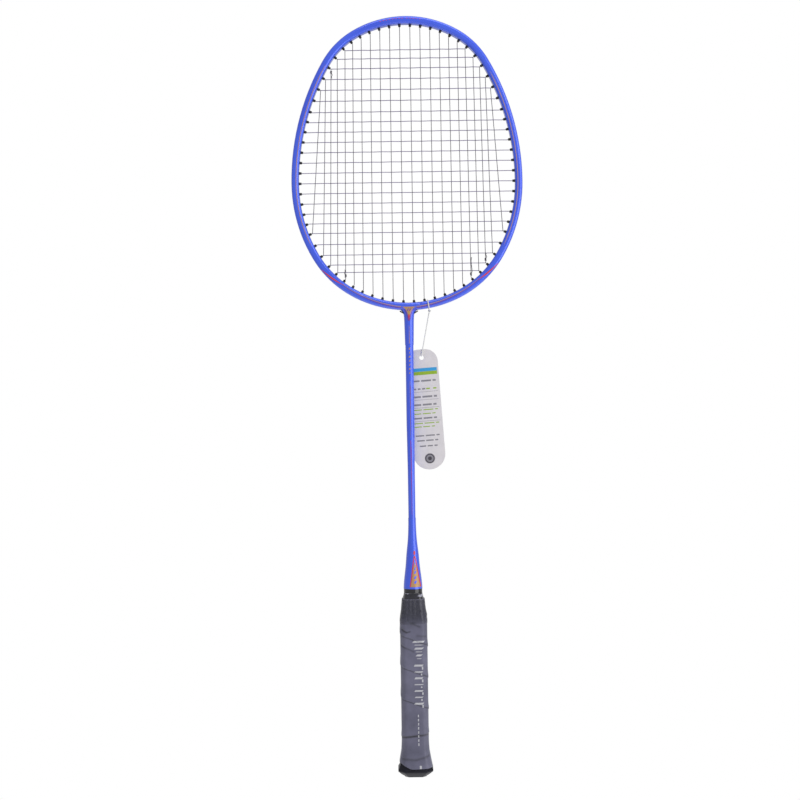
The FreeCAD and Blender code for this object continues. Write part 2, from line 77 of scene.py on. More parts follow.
class RacketSizes(bpy.types.PropertyGroup):
    """Sizes of the pieces that are added to the frame."""
    string_radius: length("String radius", "Half the thickness of the strings", 0.34 * MM)
    weave_height: length("Weave height", "How far each string bows over the ones that it crosses", 0.36 * MM)
    wrap_pitch: length("Wrap pitch", "Rise of the grip's wrap in one turn round the handle", 28 * MM)
    wrap_step: length("Wrap step", "Height of the wrap's edge where it overlaps the turn below", 0.42 * MM)
    line_width: length("Line width", "Width of the thin painted lines", 0.55 * MM)
    line_lift: length("Line lift", "Gap between a painted line and the lacquer below it", 0.02 * MM)
    line_build: length("Line build", "Thickness of the painted lines", 0.035 * MM)
    crease_depth: length("Crease depth", "Depth of the film's creases at the handle's neck", 0.4 * MM)
    thread_radius: length("Thread radius", "Half the thickness of the tag's thread", 0.5 * MM)
    thread_lobes: IntProperty(name="Thread plies", description="How many plies the thread is twisted from",
                              default=3, min=2, max=5)


class RacketColours(bpy.types.PropertyGroup):
    """Colours of the racket's finishes."""
    lacquer: colour("Lacquer", "Blue of the head, shaft and cone", paint(68, 104, 250))
    lacquer_deep: colour("Lacquer, deep", "Darker blue in the lacquer's depth", paint(54, 86, 232))
    gold: colour("Gold", "Gold of the lines and the throat's flash", paint(192, 148, 102))
    red: colour("Red", "Red of the flashes", paint(214, 52, 62))
    violet: colour("Violet", "Violet of the second line", paint(112, 60, 170))
    grip: colour("Grip", "Bluish grey of the wrap", paint(84, 84, 104))
    grip_worn: colour("Grip, lighter", "Lighter grey of the wrap's raised grain", paint(108, 107, 130))
    string: colour("Long strings", "Grey of the long strings", paint(86, 82, 92))
    string_cross: colour("Short strings", "Purplish grey of the short strings", paint(112, 98, 146))
    card: colour("Card", "Pale grey of the tag", paint(222, 218, 222))
    print_grey: colour("Print, grey", "Grey of the tag's bars", paint(140, 138, 146))
    print_blue: colour("Print, blue", "Blue of the tag's band", paint(52, 160, 222))
    print_green: colour("Print, green", "Green of the tag's band and thin bars", paint(150, 184, 44))
    silver: colour("Silver", "Silver of the grip's motif", paint(205, 205, 212))
    thread: colour("Thread", "White of the tag's thread", paint(240, 240, 236))


def sizes():
    return bpy.context.scene.racket_sizes


def colours():
    return bpy.context.scene.racket_colours


# ------------------------------------------------------------------ materials
def node(tree, kind, **values):
    """A new shader node with some of its inputs set; an underscore in a name stands for a space."""
    made = tree.nodes.new("ShaderNode" + kind)
    for key, value in values.items():
        made.inputs[key.replace("_", " ")].default_value = value
    return made


def wire(tree, *links):
    """Join nodes; each link is (node, output, node, input)."""
    for source, output, target, entry in links:
        tree.links.new(source.outputs[output], target.inputs[entry])


def fill_ramp(ramp, stops):
    """Set a new colour ramp's stops, each (position, colour)."""
    for position, _ in stops[2:]:
        ramp.color_ramp.elements.new(position)
    for element, (position, value) in zip(ramp.color_ramp.elements, stops):
        element.position = position
        element.color = (*value, 1)


def finish(name, light, dark, roughness, metallic=0.0, coat=0.0, coat_roughness=0.03, sheen=0.0,
           alpha=1.0, patch=40.0, grain=900.0, grain_depth=0.02, roughness_spread=0.06,
           stretch=(1, 1, 1), specular=0.5):
    """A material whose colour drifts between two shades, with a fine grain in its surface."""
    made = bpy.data.materials.new(name)
    made.use_nodes = True
    tree = made.node_tree
    shader = tree.nodes["Principled BSDF"]
    for key, value in (("Metallic", metallic), ("Coat Weight", coat), ("Coat Roughness", coat_roughness),
                       ("Sheen Weight", sheen), ("Sheen Roughness", 0.4), ("Specular IOR Level", specular),
                       ("Alpha", alpha)):
        shader.inputs[key].default_value = value
    place, turn = node(tree, "TexCoord"), node(tree, "Mapping", Scale=stretch)
    drift, ramp = node(tree, "TexNoise", Scale=patch, Detail=3), node(tree, "ValToRGB")
    fine = node(tree, "TexNoise", Scale=grain, Detail=2)
    fill_ramp(ramp, ((0.3, dark), (0.7, light)))
    spread = node(tree, "MapRange", To_Min=max(0.02, roughness - roughness_spread),
                  To_Max=min(1.0, roughness + roughness_spread))
    bump = node(tree, "Bump", Strength=0.5, Distance=grain_depth * MM)
    wire(tree, (place, "Object", turn, "Vector"), (turn, "Vector", drift, "Vector"),
         (turn, "Vector", fine, "Vector"), (drift, "Fac", ramp, "Fac"),
         (ramp, "Color", shader, "Base Color"), (fine, "Fac", spread, "Value"),
         (spread, "Result", shader, "Roughness"), (fine, "Fac", bump, "Height"),
         (bump, "Normal", shader, "Normal"))
    return made


def shade(colour_value, amount):
    """A colour made darker."""
    return tuple(c * amount for c in colour_value)


def coat_nodes(material, *names):
    """Give CAD nodes a material."""
    for name in names:
        mesh = NODES[name].data
        mesh.materials.clear()
        mesh.materials.append(material)


def badge_finish():
    """Rings of grey, black and blue round the butt's axis."""
    blue, grey, black = paint(30, 44, 130), paint(196, 198, 206), paint(30, 30, 36)
    made = finish("Badge", paint(190, 192, 200), paint(176, 178, 188), 0.25, metallic=0.4, coat=0.6)
    tree = made.node_tree
    split, flat, far = node(tree, "SeparateXYZ"), node(tree, "CombineXYZ"), node(tree, "VectorMath")
    far.operation = "LENGTH"
    share, ramp = node(tree, "Math"), node(tree, "ValToRGB")
    share.operation = "DIVIDE"
    share.inputs[1].default_value = BADGE_RADIUS
    ramp.color_ramp.interpolation = "CONSTANT"
    fill_ramp(ramp, ((0.0, blue), (0.34, grey), (0.42, black), (0.78, grey), (0.86, blue)))
    wire(tree, (tree.nodes["Texture Coordinate"], "Object", split, "Vector"), (split, "X", flat, "X"),
         (split, "Y", flat, "Y"), (flat, "Vector", far, 0), (far, "Value", share, 0),
         (share, "Value", ramp, "Fac"), (ramp, "Color", tree.nodes["Principled BSDF"], "Base Color"))
    return made


# ------------------------------------------------------------------ modelling helpers
def nothing_selected():
    """Leave edit mode and deselect everything."""
    if bpy.context.object and bpy.context.object.mode != "OBJECT":
        bpy.ops.object.mode_set(mode="OBJECT")
    bpy.ops.object.select_all(action="DESELECT")


def only(piece):
    """Select one piece alone and make it the active one."""
    nothing_selected()
    piece.select_set(True)
    bpy.context.view_layer.objects.active = piece


def in_edit_mode(piece, *steps):
    """Select all of a piece in edit mode and run steps on it."""
    only(piece)
    bpy.ops.object.mode_set(mode="EDIT")
    bpy.ops.mesh.select_all(action="SELECT")
    for step in steps:
        step()
    bpy.ops.object.mode_set(mode="OBJECT")


def merge_doubles():
    bpy.ops.mesh.remove_doubles(threshold=0.002 * MM)


def drop_slivers():
    bpy.ops.mesh.dissolve_degenerate(threshold=0.001 * MM)


def face_outwards():
    bpy.ops.mesh.normals_make_consistent(inside=False)


def apply_modifier(piece, kind, **values):
    only(piece)
    modifier = piece.modifiers.new(kind.title(), kind)
    for key, value in values.items():
        setattr(modifier, key, value)
    bpy.ops.object.modifier_apply(modifier=modifier.name)


def thicken(piece, thickness):
    """Give a sheet a thickness, out from the side that it faces."""
    apply_modifier(piece, "SOLIDIFY", thickness=thickness, offset=1.0)


def turn_to(piece, side):
    """Make a sheet face the back (1) or the front (-1)."""
    if sum(face.normal.y * face.area for face in piece.data.polygons) * side < 0:
        in_edit_mode(piece, bpy.ops.mesh.flip_normals)


def halved(low, high, short):
    """Close in on the value where short(value) turns false, from below."""
    for _ in range(50):
        middle = (low + high) / 2
        if short(middle):
            low = middle
        else:
            high = middle
    return low


def keep(piece, name, body, slot, *materials, replaced=()):
    """Name a finished piece, give it its finish and its body, and hide the CAD nodes that it stands for."""
    piece.name = name
    piece.data.name = name
    if materials:
        piece.data.materials.clear()
        for material in materials:
            piece.data.materials.append(material)
    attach(piece, body)
    if replaced:
        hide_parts(*replaced)
    return piece


def joined(parts):
    """Make one piece of several."""
    nothing_selected()
    for part in parts:
        part.select_set(True)
    bpy.context.view_layer.objects.active = parts[0]
    bpy.ops.object.join()
    return bpy.context.object


def sheet_of(columns, rows, place):
    """A grid whose corners run from (0, 0) to (1, 1), laid out by a function."""
    nothing_selected()
    bpy.ops.mesh.primitive_grid_add(x_subdivisions=columns, y_subdivisions=rows, size=1)
    piece = bpy.context.object
    for vertex in piece.data.vertices:
        vertex.co = place(vertex.co.x + 0.5, vertex.co.y + 0.5)
    return piece


def sleeve(columns, rows, place, wall):
    """A tube from a grid closed on itself; a wall goes inwards, and its ends are closed."""
    piece = sheet_of(columns, rows, place)
    in_edit_mode(piece, merge_doubles, face_outwards)
    apply_modifier(piece, "SOLIDIFY", thickness=wall, offset=-1.0)
    only(piece)
    bpy.ops.object.shade_smooth()
    return piece


def surface_of(*names):
    """The surface of some CAD nodes, to lay lines on."""
    vertices, faces = [], []
    for name in names:
        mesh = NODES[name].data
        start = len(vertices)
        vertices += [vertex.co.copy() for vertex in mesh.vertices]
        faces += [[start + index for index in face.vertices] for face in mesh.polygons]
    return BVHTree.FromPolygons(vertices, faces)


def laid(surface, columns, rows, shape, back=False, lift=None):
    """A thin painted shape: shape(a, b) gives x and z, and the surface gives the depth."""
    side = 1 if back else -1
    gap = sizes().line_lift if lift is None else lift

    def place(a, b):
        x, z = shape(a, b)
        hit, normal, _, _ = surface.ray_cast(Vector((x, side * 0.1, z)), Vector((0, -side, 0)))
        if hit is None:
            raise RuntimeError("a painted shape runs off its surface at %.4f, %.4f" % (x, z))
        return hit + normal * gap

    piece = sheet_of(columns, rows, place)
    in_edit_mode(piece, merge_doubles, drop_slivers)
    turn_to(piece, side)
    thicken(piece, sizes().line_build)
    return piece


def curve_line(name, points, order=4, closed=False, detail=3):
    """A smooth spline on given points."""
    data = bpy.data.curves.new(name, "CURVE")
    data.dimensions = "3D"
    data.resolution_u = detail
    spline = data.splines.new("NURBS")
    spline.points.add(len(points) - 1)
    for point, place in zip(spline.points, points):
        point.co = (*place, 1)
    spline.order_u = order
    spline.use_cyclic_u = closed
    spline.use_endpoint_u = not closed
    piece = bpy.data.objects.new(name, data)
    bpy.context.scene.collection.objects.link(piece)
    return piece


def round_tube(name, points, radius):
    """A smooth spline given a round section and made a mesh with closed ends."""
    piece = curve_line(name, points)
    piece.data.bevel_depth = radius
    piece.data.bevel_resolution = 1
    piece.data.use_fill_caps = True
    only(piece)
    bpy.ops.object.convert(target="MESH")
    piece = bpy.context.object
    in_edit_mode(piece, merge_doubles, face_outwards)
    only(piece)
    bpy.ops.object.shade_smooth()
    return piece


def line_of(piece):
    """The points of a curve that has no section yet, as its spline gives them."""
    bpy.context.view_layer.update()
    evaluated = piece.evaluated_get(bpy.context.evaluated_depsgraph_get())
    mesh = bpy.data.meshes.new_from_object(evaluated)
    points = [vertex.co.copy() for vertex in mesh.vertices]
    bpy.data.meshes.remove(mesh)
    return points


def closed_line(points, order, detail):
    """Points read from a smooth closed spline, which is then removed."""
    route = curve_line("route", points, order, True, detail)
    line = line_of(route)
    bpy.data.objects.remove(route)
    return line


def twisted_thread(name, line, radius, closed=False, sides=12):
    """A thread of twisted plies along a line: its section has a lobe for each ply and turns as it goes."""
    lobes = sizes().thread_lobes
    count = len(line)
    along = []
    for index, point in enumerate(line):
        before = line[index - 1] if index or closed else point
        after = line[(index + 1) % count] if index < count - 1 or closed else point
        along.append((after - before).normalized())
    across = along[0].orthogonal().normalized()
    gone = 0.0
    vertices, faces = [], []
    for index, point in enumerate(line):
        if index:
            across = along[index - 1].rotation_difference(along[index]) @ across
            gone += (point - line[index - 1]).length
        third = along[index].cross(across)
        for side in range(sides):
            angle = 2 * math.pi * side / sides
            lobe = abs(math.cos(lobes * (angle - 2 * math.pi * gone / THREAD_TWIST) / 2))
            reach = radius * (1 - LOBE_DEPTH + LOBE_DEPTH * lobe)
            vertices.append(point + (across * math.cos(angle) + third * math.sin(angle)) * reach)
    rings = count if closed else count - 1
    for ring in range(rings):
        low, high = ring * sides, (ring + 1) % count * sides
        for side in range(sides):
            other = (side + 1) % sides
            faces.append((low + side, low + other, high + other, high + side))
    if not closed:
        faces.append(tuple(range(sides - 1, -1, -1)))
        faces.append(tuple((count - 1) * sides + side for side in range(sides)))
    mesh = bpy.data.meshes.new(name)
    mesh.from_pydata(vertices, [], faces)
    piece = bpy.data.objects.new(name, mesh)
    bpy.context.scene.collection.objects.link(piece)
    in_edit_mode(piece, face_outwards)
    only(piece)
    bpy.ops.object.shade_smooth()
    return piece


# ------------------------------------------------------------------ the head's outline
HEAD_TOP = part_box("head_frame")[1].z
OUTLINE_WIDTH = 205.4 * MM
HEAD_ARCS = ((30, 0.4577), (30, 0.3549), (30, 1.0541), (30, 0.6476), (30, 0.4421))  # degrees, radius / width
HOLE_ZONES = ((6, 9.2), (6, 10.7), (12, 9.27), (3, 11.1), (8, 9.45))  # steps between holes, their length in mm
END_STEP = 4.7 * MM  # from the head's middle line to the first and the last hole
HOLE_LINE, NOSE_LINE, GROOVE_LINE = 7.5 * MM, 9.7 * MM, 0.96 * MM  # how far in from the outline


def outline_arcs():
    """The right half of the outline from the tip down: (centre x, centre z, radius, heading, turn)."""
    arcs = []
    heading, x, z = 0.0, 0.0, HEAD_TOP
    for degrees, share in HEAD_ARCS:
        turn = math.radians(degrees)
        radius = share * OUTLINE_WIDTH
        centre_x, centre_z = x - math.sin(heading) * radius, z - math.cos(heading) * radius
        arcs.append((centre_x, centre_z, radius, heading, turn))
        heading += turn
        x, z = centre_x + radius * math.sin(heading), centre_z + radius * math.cos(heading)
    radius = x / math.sin(heading)
    arcs.append((0.0, z - math.cos(heading) * radius, radius, heading, math.pi - heading))
    return arcs


ARCS = outline_arcs()
HALF_OUTLINE = sum(arc[2] * arc[4] for arc in ARCS)


def arc_at(distance, inset):
    """The arc and the heading on it at a distance from the tip along the inset outline."""
    for arc in ARCS:
        run = (arc[2] - inset) * arc[4]
        if distance <= run:
            return arc, arc[3] + distance / (arc[2] - inset)
        distance -= run
    return ARCS[-1], math.pi


def on_head(place, inset, side=1):
    """x and z of a point on the outline's arc, moved inwards."""
    arc, heading = place
    return side * (arc[0] + (arc[2] - inset) * math.sin(heading)), arc[1] + (arc[2] - inset) * math.cos(heading)


def hole_places():
    """Where the grommets are down one side, tip first."""
    steps = [pitch * MM for count, pitch in HOLE_ZONES for _ in range(count)]
    half = sum((arc[2] - HOLE_LINE) * arc[4] for arc in ARCS)
    stretch = half / (2 * END_STEP + sum(steps))
    gone = END_STEP * stretch
    places = [arc_at(gone, HOLE_LINE)]
    for step in steps:
        gone += step * stretch
        places.append(arc_at(gone, HOLE_LINE))
    return places


HOLES = hole_places()


def distance_at_height(z):
    """How far along the outer outline, from the tip, its height has fallen to z."""
    return halved(0.0, HALF_OUTLINE, lambda gone: on_head(arc_at(gone, 0), 0)[1] > z)


# ------------------------------------------------------------------ operators: finishes of the CAD nodes
class RACKET_OT_finishes(bpy.types.Operator):
    """Give the head, throat, shaft, cone and the other hard parts their finishes"""
    bl_idname = "racket.finishes"
    bl_label = "Lacquer and plastic"

    def execute(self, context):
        shades = colours()
        lacquer = finish("Lacquer", shades.lacquer, shades.lacquer_deep, 0.3, metallic=0.25, coat=1.0,
                         coat_roughness=0.05, patch=14, grain=5200, grain_depth=0.0012, roughness_spread=0.04)
        coat_nodes(lacquer, "head_frame", "throat_joint", "shaft", "cone_cap")
        coat_nodes(finish("Gloss black", paint(24, 24, 34), paint(16, 16, 24), 0.15, coat=0.7, grain=1500,
                          grain_depth=0.01), "collar_band")
        coat_nodes(finish("Nylon", paint(24, 24, 28), paint(14, 14, 17), 0.42, patch=300, grain=2600),
                   "tip_grommets", "shoulder_grommets", "left_side_grommets", "right_side_grommets",
                   "lower_grommets", "throat_grommets")
        coat_nodes(finish("Turned aluminium", paint(200, 202, 206), paint(176, 178, 184), 0.3, metallic=1.0,
                          grain=1200, stretch=(1, 1, 20)), "throat_spigot")
        coat_nodes(finish("Sanded wood", paint(206, 170, 120), paint(168, 126, 80), 0.6, patch=90,
                          grain_depth=0.08, stretch=(8, 8, 0.6)), "handle_core")
        coat_nodes(finish("Staple wire", paint(178, 178, 182), paint(150, 150, 156), 0.35, metallic=1.0,
                          grain=1500), "butt_staples")
        coat_nodes(badge_finish(), "butt_badge")
        coat_nodes(finish("Coated card", shades.card, shade(shades.card, 0.93), 0.45, coat=0.25,
                          coat_roughness=0.2, patch=160, grain=3000, grain_depth=0.012), "hang_tag")
        return {"FINISHED"}


# ------------------------------------------------------------------ operators: strings
LONG_PER_SIDE, SHORT_STRINGS = 11, 23
FIRST_SIDE_HOLE = 7  # of the topmost short string
OUTER_LONG_HOLE = 25  # where the outermost long string ends below
STRING_CLEAR = 1.5 * MM  # strings nearer to a nose than this don't cross
GROOVE_BEND = 0.9 * MM
STRING_SIDE = 0.35 * MM  # how far in front of or behind the middle the strings run in the groove


def crossing_sign(main, cross):
    """1 where the long string runs behind the short one, -1 where it runs in front."""
    return 1 if (main + cross) % 2 == 0 else -1


def long_ends():
    """The long strings from left to right: the hole and side of each end, top then bottom."""
    order = [(index, -1) for index in range(LONG_PER_SIDE, 0, -1)]
    order += [(index, 1) for index in range(1, LONG_PER_SIDE + 1)]
    return [((index, side), (OUTER_LONG_HOLE if index == LONG_PER_SIDE else len(HOLES) + 1 - index, side))
            for index, side in order]


def nose_point(hole, side, inset=NOSE_LINE):
    """A point on a hole's line, at the grommet's nose or at another distance in from the outline."""
    x, z = on_head(HOLES[hole - 1], inset, side)
    return Vector((x, 0, z))


SHORT_ENDS = [nose_point(FIRST_SIDE_HOLE + index, 1) for index in range(SHORT_STRINGS)]


def crossing(main, cross):
    """Where a long and a short string cross, or None where one of them has ended."""
    (top_hole, side), (bottom_hole, _) = long_ends()[main]
    top, bottom = nose_point(top_hole, side), nose_point(bottom_hole, side)
    reach, z = SHORT_ENDS[cross].x, SHORT_ENDS[cross].z
    if bottom.z + STRING_CLEAR < z < top.z - STRING_CLEAR:
        x = bottom.x + (top.x - bottom.x) * (z - bottom.z) / (top.z - bottom.z)
        if abs(x) < reach - STRING_CLEAR:
            return Vector((x, 0, z))
    return None


def woven_long(number):
    """Points of one long string from its lower nose to its upper nose, over and under the short ones."""
    (top_hole, side), (bottom_hole, _) = long_ends()[number]
    stops = [(crossing(number, cross), crossing_sign(number, cross)) for cross in range(SHORT_STRINGS)]
    return woven(nose_point(bottom_hole, side), nose_point(top_hole, side), stops[::-1])


def woven_short(number, leftwards):
    """Points of one short string from side to side."""
    end = SHORT_ENDS[number]
    stops = [(crossing(main, number), -crossing_sign(main, number)) for main in range(2 * LONG_PER_SIDE)]
    line = woven(Vector((-end.x, 0, end.z)), end, stops)
    return line[::-1] if leftwards else line


def woven(start, end, stops):
    """Spline points from start to end that bow to one side or the other at each stop."""
    bow = sizes().weave_height * 1.5
    points = []
    before = start
    for place, sign in stops:
        if place is not None:
            points += [(before + place) / 2, place + Vector((0, sign * bow, 0))]
            before = place
    points.append((before + end) / 2)
    return points


def string_turn(hole, side, y, towards, entering):
    """Spline points from a nose through its grommet into the groove, or the other way."""
    nose, mouth = nose_point(hole, side), nose_point(hole, side, GROOVE_LINE)
    inner = nose_point(hole, side, NOSE_LINE - 1.2 * MM)
    deep = nose_point(hole, side, GROOVE_LINE + GROOVE_BEND)
    away = nose + (towards - nose).normalized() * GROOVE_BEND
    points = [away, nose, inner, (inner + deep) / 2, deep, mouth]
    points = [point + Vector((0, y, 0)) for point in points]
    return points if entering else points[::-1]


def groove_run(first, last, y):
    """Spline points along the groove from one grommet's mouth to the next."""
    depth = Vector((0, y, 0))
    start, end = nose_point(*first, GROOVE_LINE) + depth, nose_point(*last, GROOVE_LINE) + depth
    step = (end - start).normalized() * GROOVE_BEND
    return [start + step, (start + end) / 2, end - step]


def whole_string(runs, y):
    """All of one string: runs are (start hole, side, end hole, side, woven points)."""
    points = []
    for number, (first, first_side, last, last_side, line) in enumerate(runs):
        if number:
            points += groove_run((runs[number - 1][2], runs[number - 1][3]), (first, first_side), y)
        points += string_turn(first, first_side, y, line[0], False)
        points += line
        points += string_turn(last, last_side, y, line[-1], True)
    return points


class RACKET_OT_strings(bpy.types.Operator):
    """Weave the long and the short strings and thread them through the grommets"""
    bl_idname = "racket.strings"
    bl_label = "Strings"

    def execute(self, context):
        shades, radius = colours(), sizes().string_radius
        long_runs, short_runs = [], []
        for number, ((top, side), (bottom, _)) in enumerate(long_ends()):
            line = woven_long(number)
            long_runs.append((top, side, bottom, side, line[::-1]) if number % 2
                             else (bottom, side, top, side, line))
        for number in range(SHORT_STRINGS):
            hole, side = FIRST_SIDE_HOLE + number, 1 if number % 2 else -1
            short_runs.append((hole, side, hole, -side, woven_short(number, side > 0)))
        for name, label, runs, y, tint, stretch, node_name in (
                ("long_strings", "Long string", long_runs, -STRING_SIDE, shades.string, (1, 1, 0.25),
                 "main_string"),
                ("short_strings", "Short string", short_runs, STRING_SIDE, shades.string_cross, (0.25, 1, 1),
                 "cross_string")):
            gut = finish(label, tint, shade(tint, 0.8), 0.3, coat=0.5, coat_roughness=0.15, patch=1200,
                         grain=3800, grain_depth=0.03, stretch=stretch)
            keep(round_tube(name, whole_string(runs, y), radius), name, "racket", "string", gut,
                 replaced=(node_name,))
        return {"FINISHED"}


KNOTS = ((9, -1, 9, 0, 3.0), (28, 1, 9, 1, 3.0),  # hole, side, string, 1 for upwards, and tail in mm
         (30, -1, 7, 1, 3.0), (30, 1, 7, 1, 12.5))


class RACKET_OT_string_knots(bpy.types.Operator):
    """Tie off the four string ends round the long strings"""
    bl_idname = "racket.string_knots"
    bl_label = "String knots"

    def execute(self, context):
        shades, radius = colours(), sizes().string_radius
        depth = Vector((0, 1, 0))
        knots = []
        for hole, side, main, upwards, tail in KNOTS:
            top, bottom = nose_point(main, side), nose_point(len(HOLES) + 1 - main, side)
            along = (top - bottom).normalized() * (1 if upwards else -1)
            start = nose_point(hole, side) - depth * STRING_SIDE
            out = Vector((along.z, 0, -along.x)) * side
            coil = []
            for step in range(25):
                angle = 2 * math.pi * step / 8
                coil.append(start + along * (1.8 + 0.105 * step) * MM
                            + (out * math.cos(angle) + depth * math.sin(angle)) * 2.15 * radius)
            for rise, outwards, back in ((1.1, 0.5, 0), (0.4 * tail, -0.7, -0.3), (0.4 * tail, -0.4, 0),
                                         (0.2 * tail, 0.8, 0)):
                coil.append(coil[-1] + (along * rise + out * outwards + depth * back) * MM)
            knots.append(round_tube("knot", coil, radius * 0.94))
        dark = finish("String knot", shade(shades.string, 0.75), shade(shades.string, 0.5), 0.3, coat=0.4,
                      patch=1500, grain=3800, grain_depth=0.03)
        keep(joined(knots), "tie_off_knots", "racket", "string", dark, replaced=("string_knots",))
        return {"FINISHED"}


# ------------------------------------------------------------------ operators: painted lines
THROAT_LINES = (  # inset in mm along the line, and how many line widths it has at first and gains by its end
    ("gold", ((0, 4.35), (0.45, 4.0), (0.8, 3.2), (1, 2.6)), 0.5, 0.7),
    ("violet", ((0, 3.7), (0.45, 3.2), (0.8, 2.2), (1, 1.45)), 0.6, 0.9))
THROAT_LINE_END = HALF_OUTLINE - 7 * MM
FALL_X = ((0, 6.6), (0.25, 4.0), (0.5, 2.7), (0.75, 1.6), (1, 0.5))
FALL_Z = ((0, 415.4), (0.25, 414.4), (0.5, 412.4), (0.75, 409.0), (1, 404.2))
THROAT_FLASH = ((0, 6.2), (0.08, 4.4), (0.16, 3.3), (0.28, 2.45), (0.46, 1.5), (0.75, 0.7), (1, 0.12))
FLASH_TIP = ((0, 0.15), (0.25, 0.8), (0.4, 0.72), (0.7, 0.4), (1, 0.1))
FLAME_EDGE = ((168.3, 5.15), (175.7, 3.8), (183.0, 2.75), (190.7, 1.6), (195.7, 0.5))
FLAME_FOOT = 168.3
SHAFT_MARKS = (1.1, 0.6, 1.1, 0.8, 0.6, 1.1, 0.8)
UPRIGHTS = (  # paint, node, heights, widths at both ends, x, rows
    ("gold", "throat_joint", 384, 400, 0.55, 0.2, 0.0, 12), ("gold", "shaft", 300, 351, 0.15, 0.25, 0.0, 20),
    ("violet", "shaft", 306, 346, 0.2, 0.35, 0.4, 16), ("red", "shaft", 232, 298, 0.1, 0.3, 0.0, 24),
    ("violet", "shaft", 226, 292, 0.1, 0.35, 0.35, 24))


def eased(values, share):
    """A value from a list of (share, value), with straight runs between."""
    for (low, first), (high, second) in zip(values, values[1:]):
        if share <= high:
            return first + (second - first) * max(0.0, share - low) / (high - low)
    return values[-1][1]


def head_stripe(surface, side, first, last, inset_first, inset_last, width, back, taper, columns):
    """A tapered stripe on the head's face between two distances from the tip."""
    def shape(a, b):
        ends = min(1.0, a / taper, (1 - a) / taper)
        inset = (inset_first + (inset_last - inset_first) * a) * MM + (b - 0.5) * width * (0.15 + 0.85 * ends)
        return on_head(arc_at(first + (last - first) * a, 0), inset, side)
    return laid(surface, columns, 2, shape, back)


def throat_line(first, insets, wide, widening, side):
    """The shape of a line that runs along the head into the throat."""
    def shape(a, b):
        inset = eased(insets, a) * MM + (b - 0.5) * sizes().line_width * (wide + widening * a)
        return on_head(arc_at(first + (THROAT_LINE_END - first) * a, 0), inset, side)
    return shape


def spear(top, height, halves):
    """A shape on the middle line whose half width is eased from its top down, in millimetres."""
    return lambda a, b: ((2 * a - 1) * eased(halves, b) * MM, (top - height * b) * MM)


def slanted(x, z, wide, tall, slant):
    """A leaning bar round a point, in millimetres."""
    return lambda a, b: ((x + (a - 0.5) * wide + (b - 0.5) * slant) * MM, (z + (b - 0.5) * tall) * MM)


def upright(low, high, wide_low, wide_high, x):
    """A stripe up the shaft from one height to another, in millimetres."""
    return lambda a, b: ((x + (a - 0.5) * (wide_low + (wide_high - wide_low) * b)) * MM,
                         (low + (high - low) * b) * MM)


def paint_pots():
    """The four paints, made once, and a list for the shapes in each."""
    shades = colours()
    pots = {}
    for name, value, metallic in (("gold", shades.gold, 0.15), ("red", shades.red, 0.0),
                                  ("violet", shades.violet, 0.1), ("blue", shades.lacquer, 0.2)):
        label = name.title() + " paint"
        ink = bpy.data.materials.get(label) or finish(label, value, shade(value, 0.88), 0.4, metallic=metallic,
                                                      coat=0.4, coat_roughness=0.15, patch=120, grain=4000,
                                                      grain_depth=0.001)
        pots[name] = (ink, [])
    return pots


def keep_paint(pots, names):
    """Join what is painted in each paint and name it."""
    for pot, name in names:
        ink, parts = pots[pot]
        keep(joined(parts), name, "racket", "frame_paint", ink)


class RACKET_OT_head_lines(bpy.types.Operator):
    """Paint the gold lines, the red flashes and the lines that run into the throat"""
    bl_idname = "racket.head_lines"
    bl_label = "Lines on the head"

    def execute(self, context):
        width = sizes().line_width
        surface = surface_of("head_frame", "throat_joint")
        pots = paint_pots()
        gold, red, violet = (pots[name][1] for name in ("gold", "red", "violet"))
        for back in (False, True):
            for side, line_top, red_top, red_low, throat_top, dashes in (
                    (-1, 0.635, 0.4502, 0.4332, 0.4338, 8), (1, 0.6265, 0.4538, 0.4366, 0.4372, 5)):
                gold.append(head_stripe(surface, side, distance_at_height(line_top), distance_at_height(0.4682),
                                        4.35, 4.25, width, back, 0.05, 60))
                red.append(head_stripe(surface, side, distance_at_height(red_top), distance_at_height(red_low),
                                       0.75, 4.1, 1.35 * MM, back, 0.4, 28))
                first = distance_at_height(throat_top)
                for pot, insets, wide, widening in THROAT_LINES:
                    pots[pot][1].append(laid(surface, 48, 2, throat_line(first, insets, wide, widening, side),
                                             back))

                def violet_fall(a, b, side=side):
                    return side * (eased(FALL_X, a) + (b - 0.5) * 0.8) * MM, eased(FALL_Z, a) * MM

                violet.append(laid(surface, 20, 2, violet_fall, back, 0.05 * MM))
                for dash in range(dashes):
                    low = (1.2 + 2.9 * dash) * MM
                    red.append(head_stripe(surface, side, low, low + 1.8 * MM, 2.5, 2.5, width * 0.75, back,
                                           0.2, 4))
            gold.append(laid(surface, 16, 24, spear(416.7, 11.6, THROAT_FLASH), back, 0.08 * MM))
            for centre in (-0.9, 1.0):
                violet.append(laid(surface, 3, 5, slanted(centre, 414.1, 0.8, 2.6, 1.3), back, 0.14 * MM))
            red.append(laid(surface, 6, 10, spear(410.2, 5.6, FLASH_TIP), back, 0.13 * MM))
        keep_paint(pots, (("gold", "head_gold_lines"), ("red", "head_red_flashes"),
                          ("violet", "head_violet_lines")))
        return {"FINISHED"}


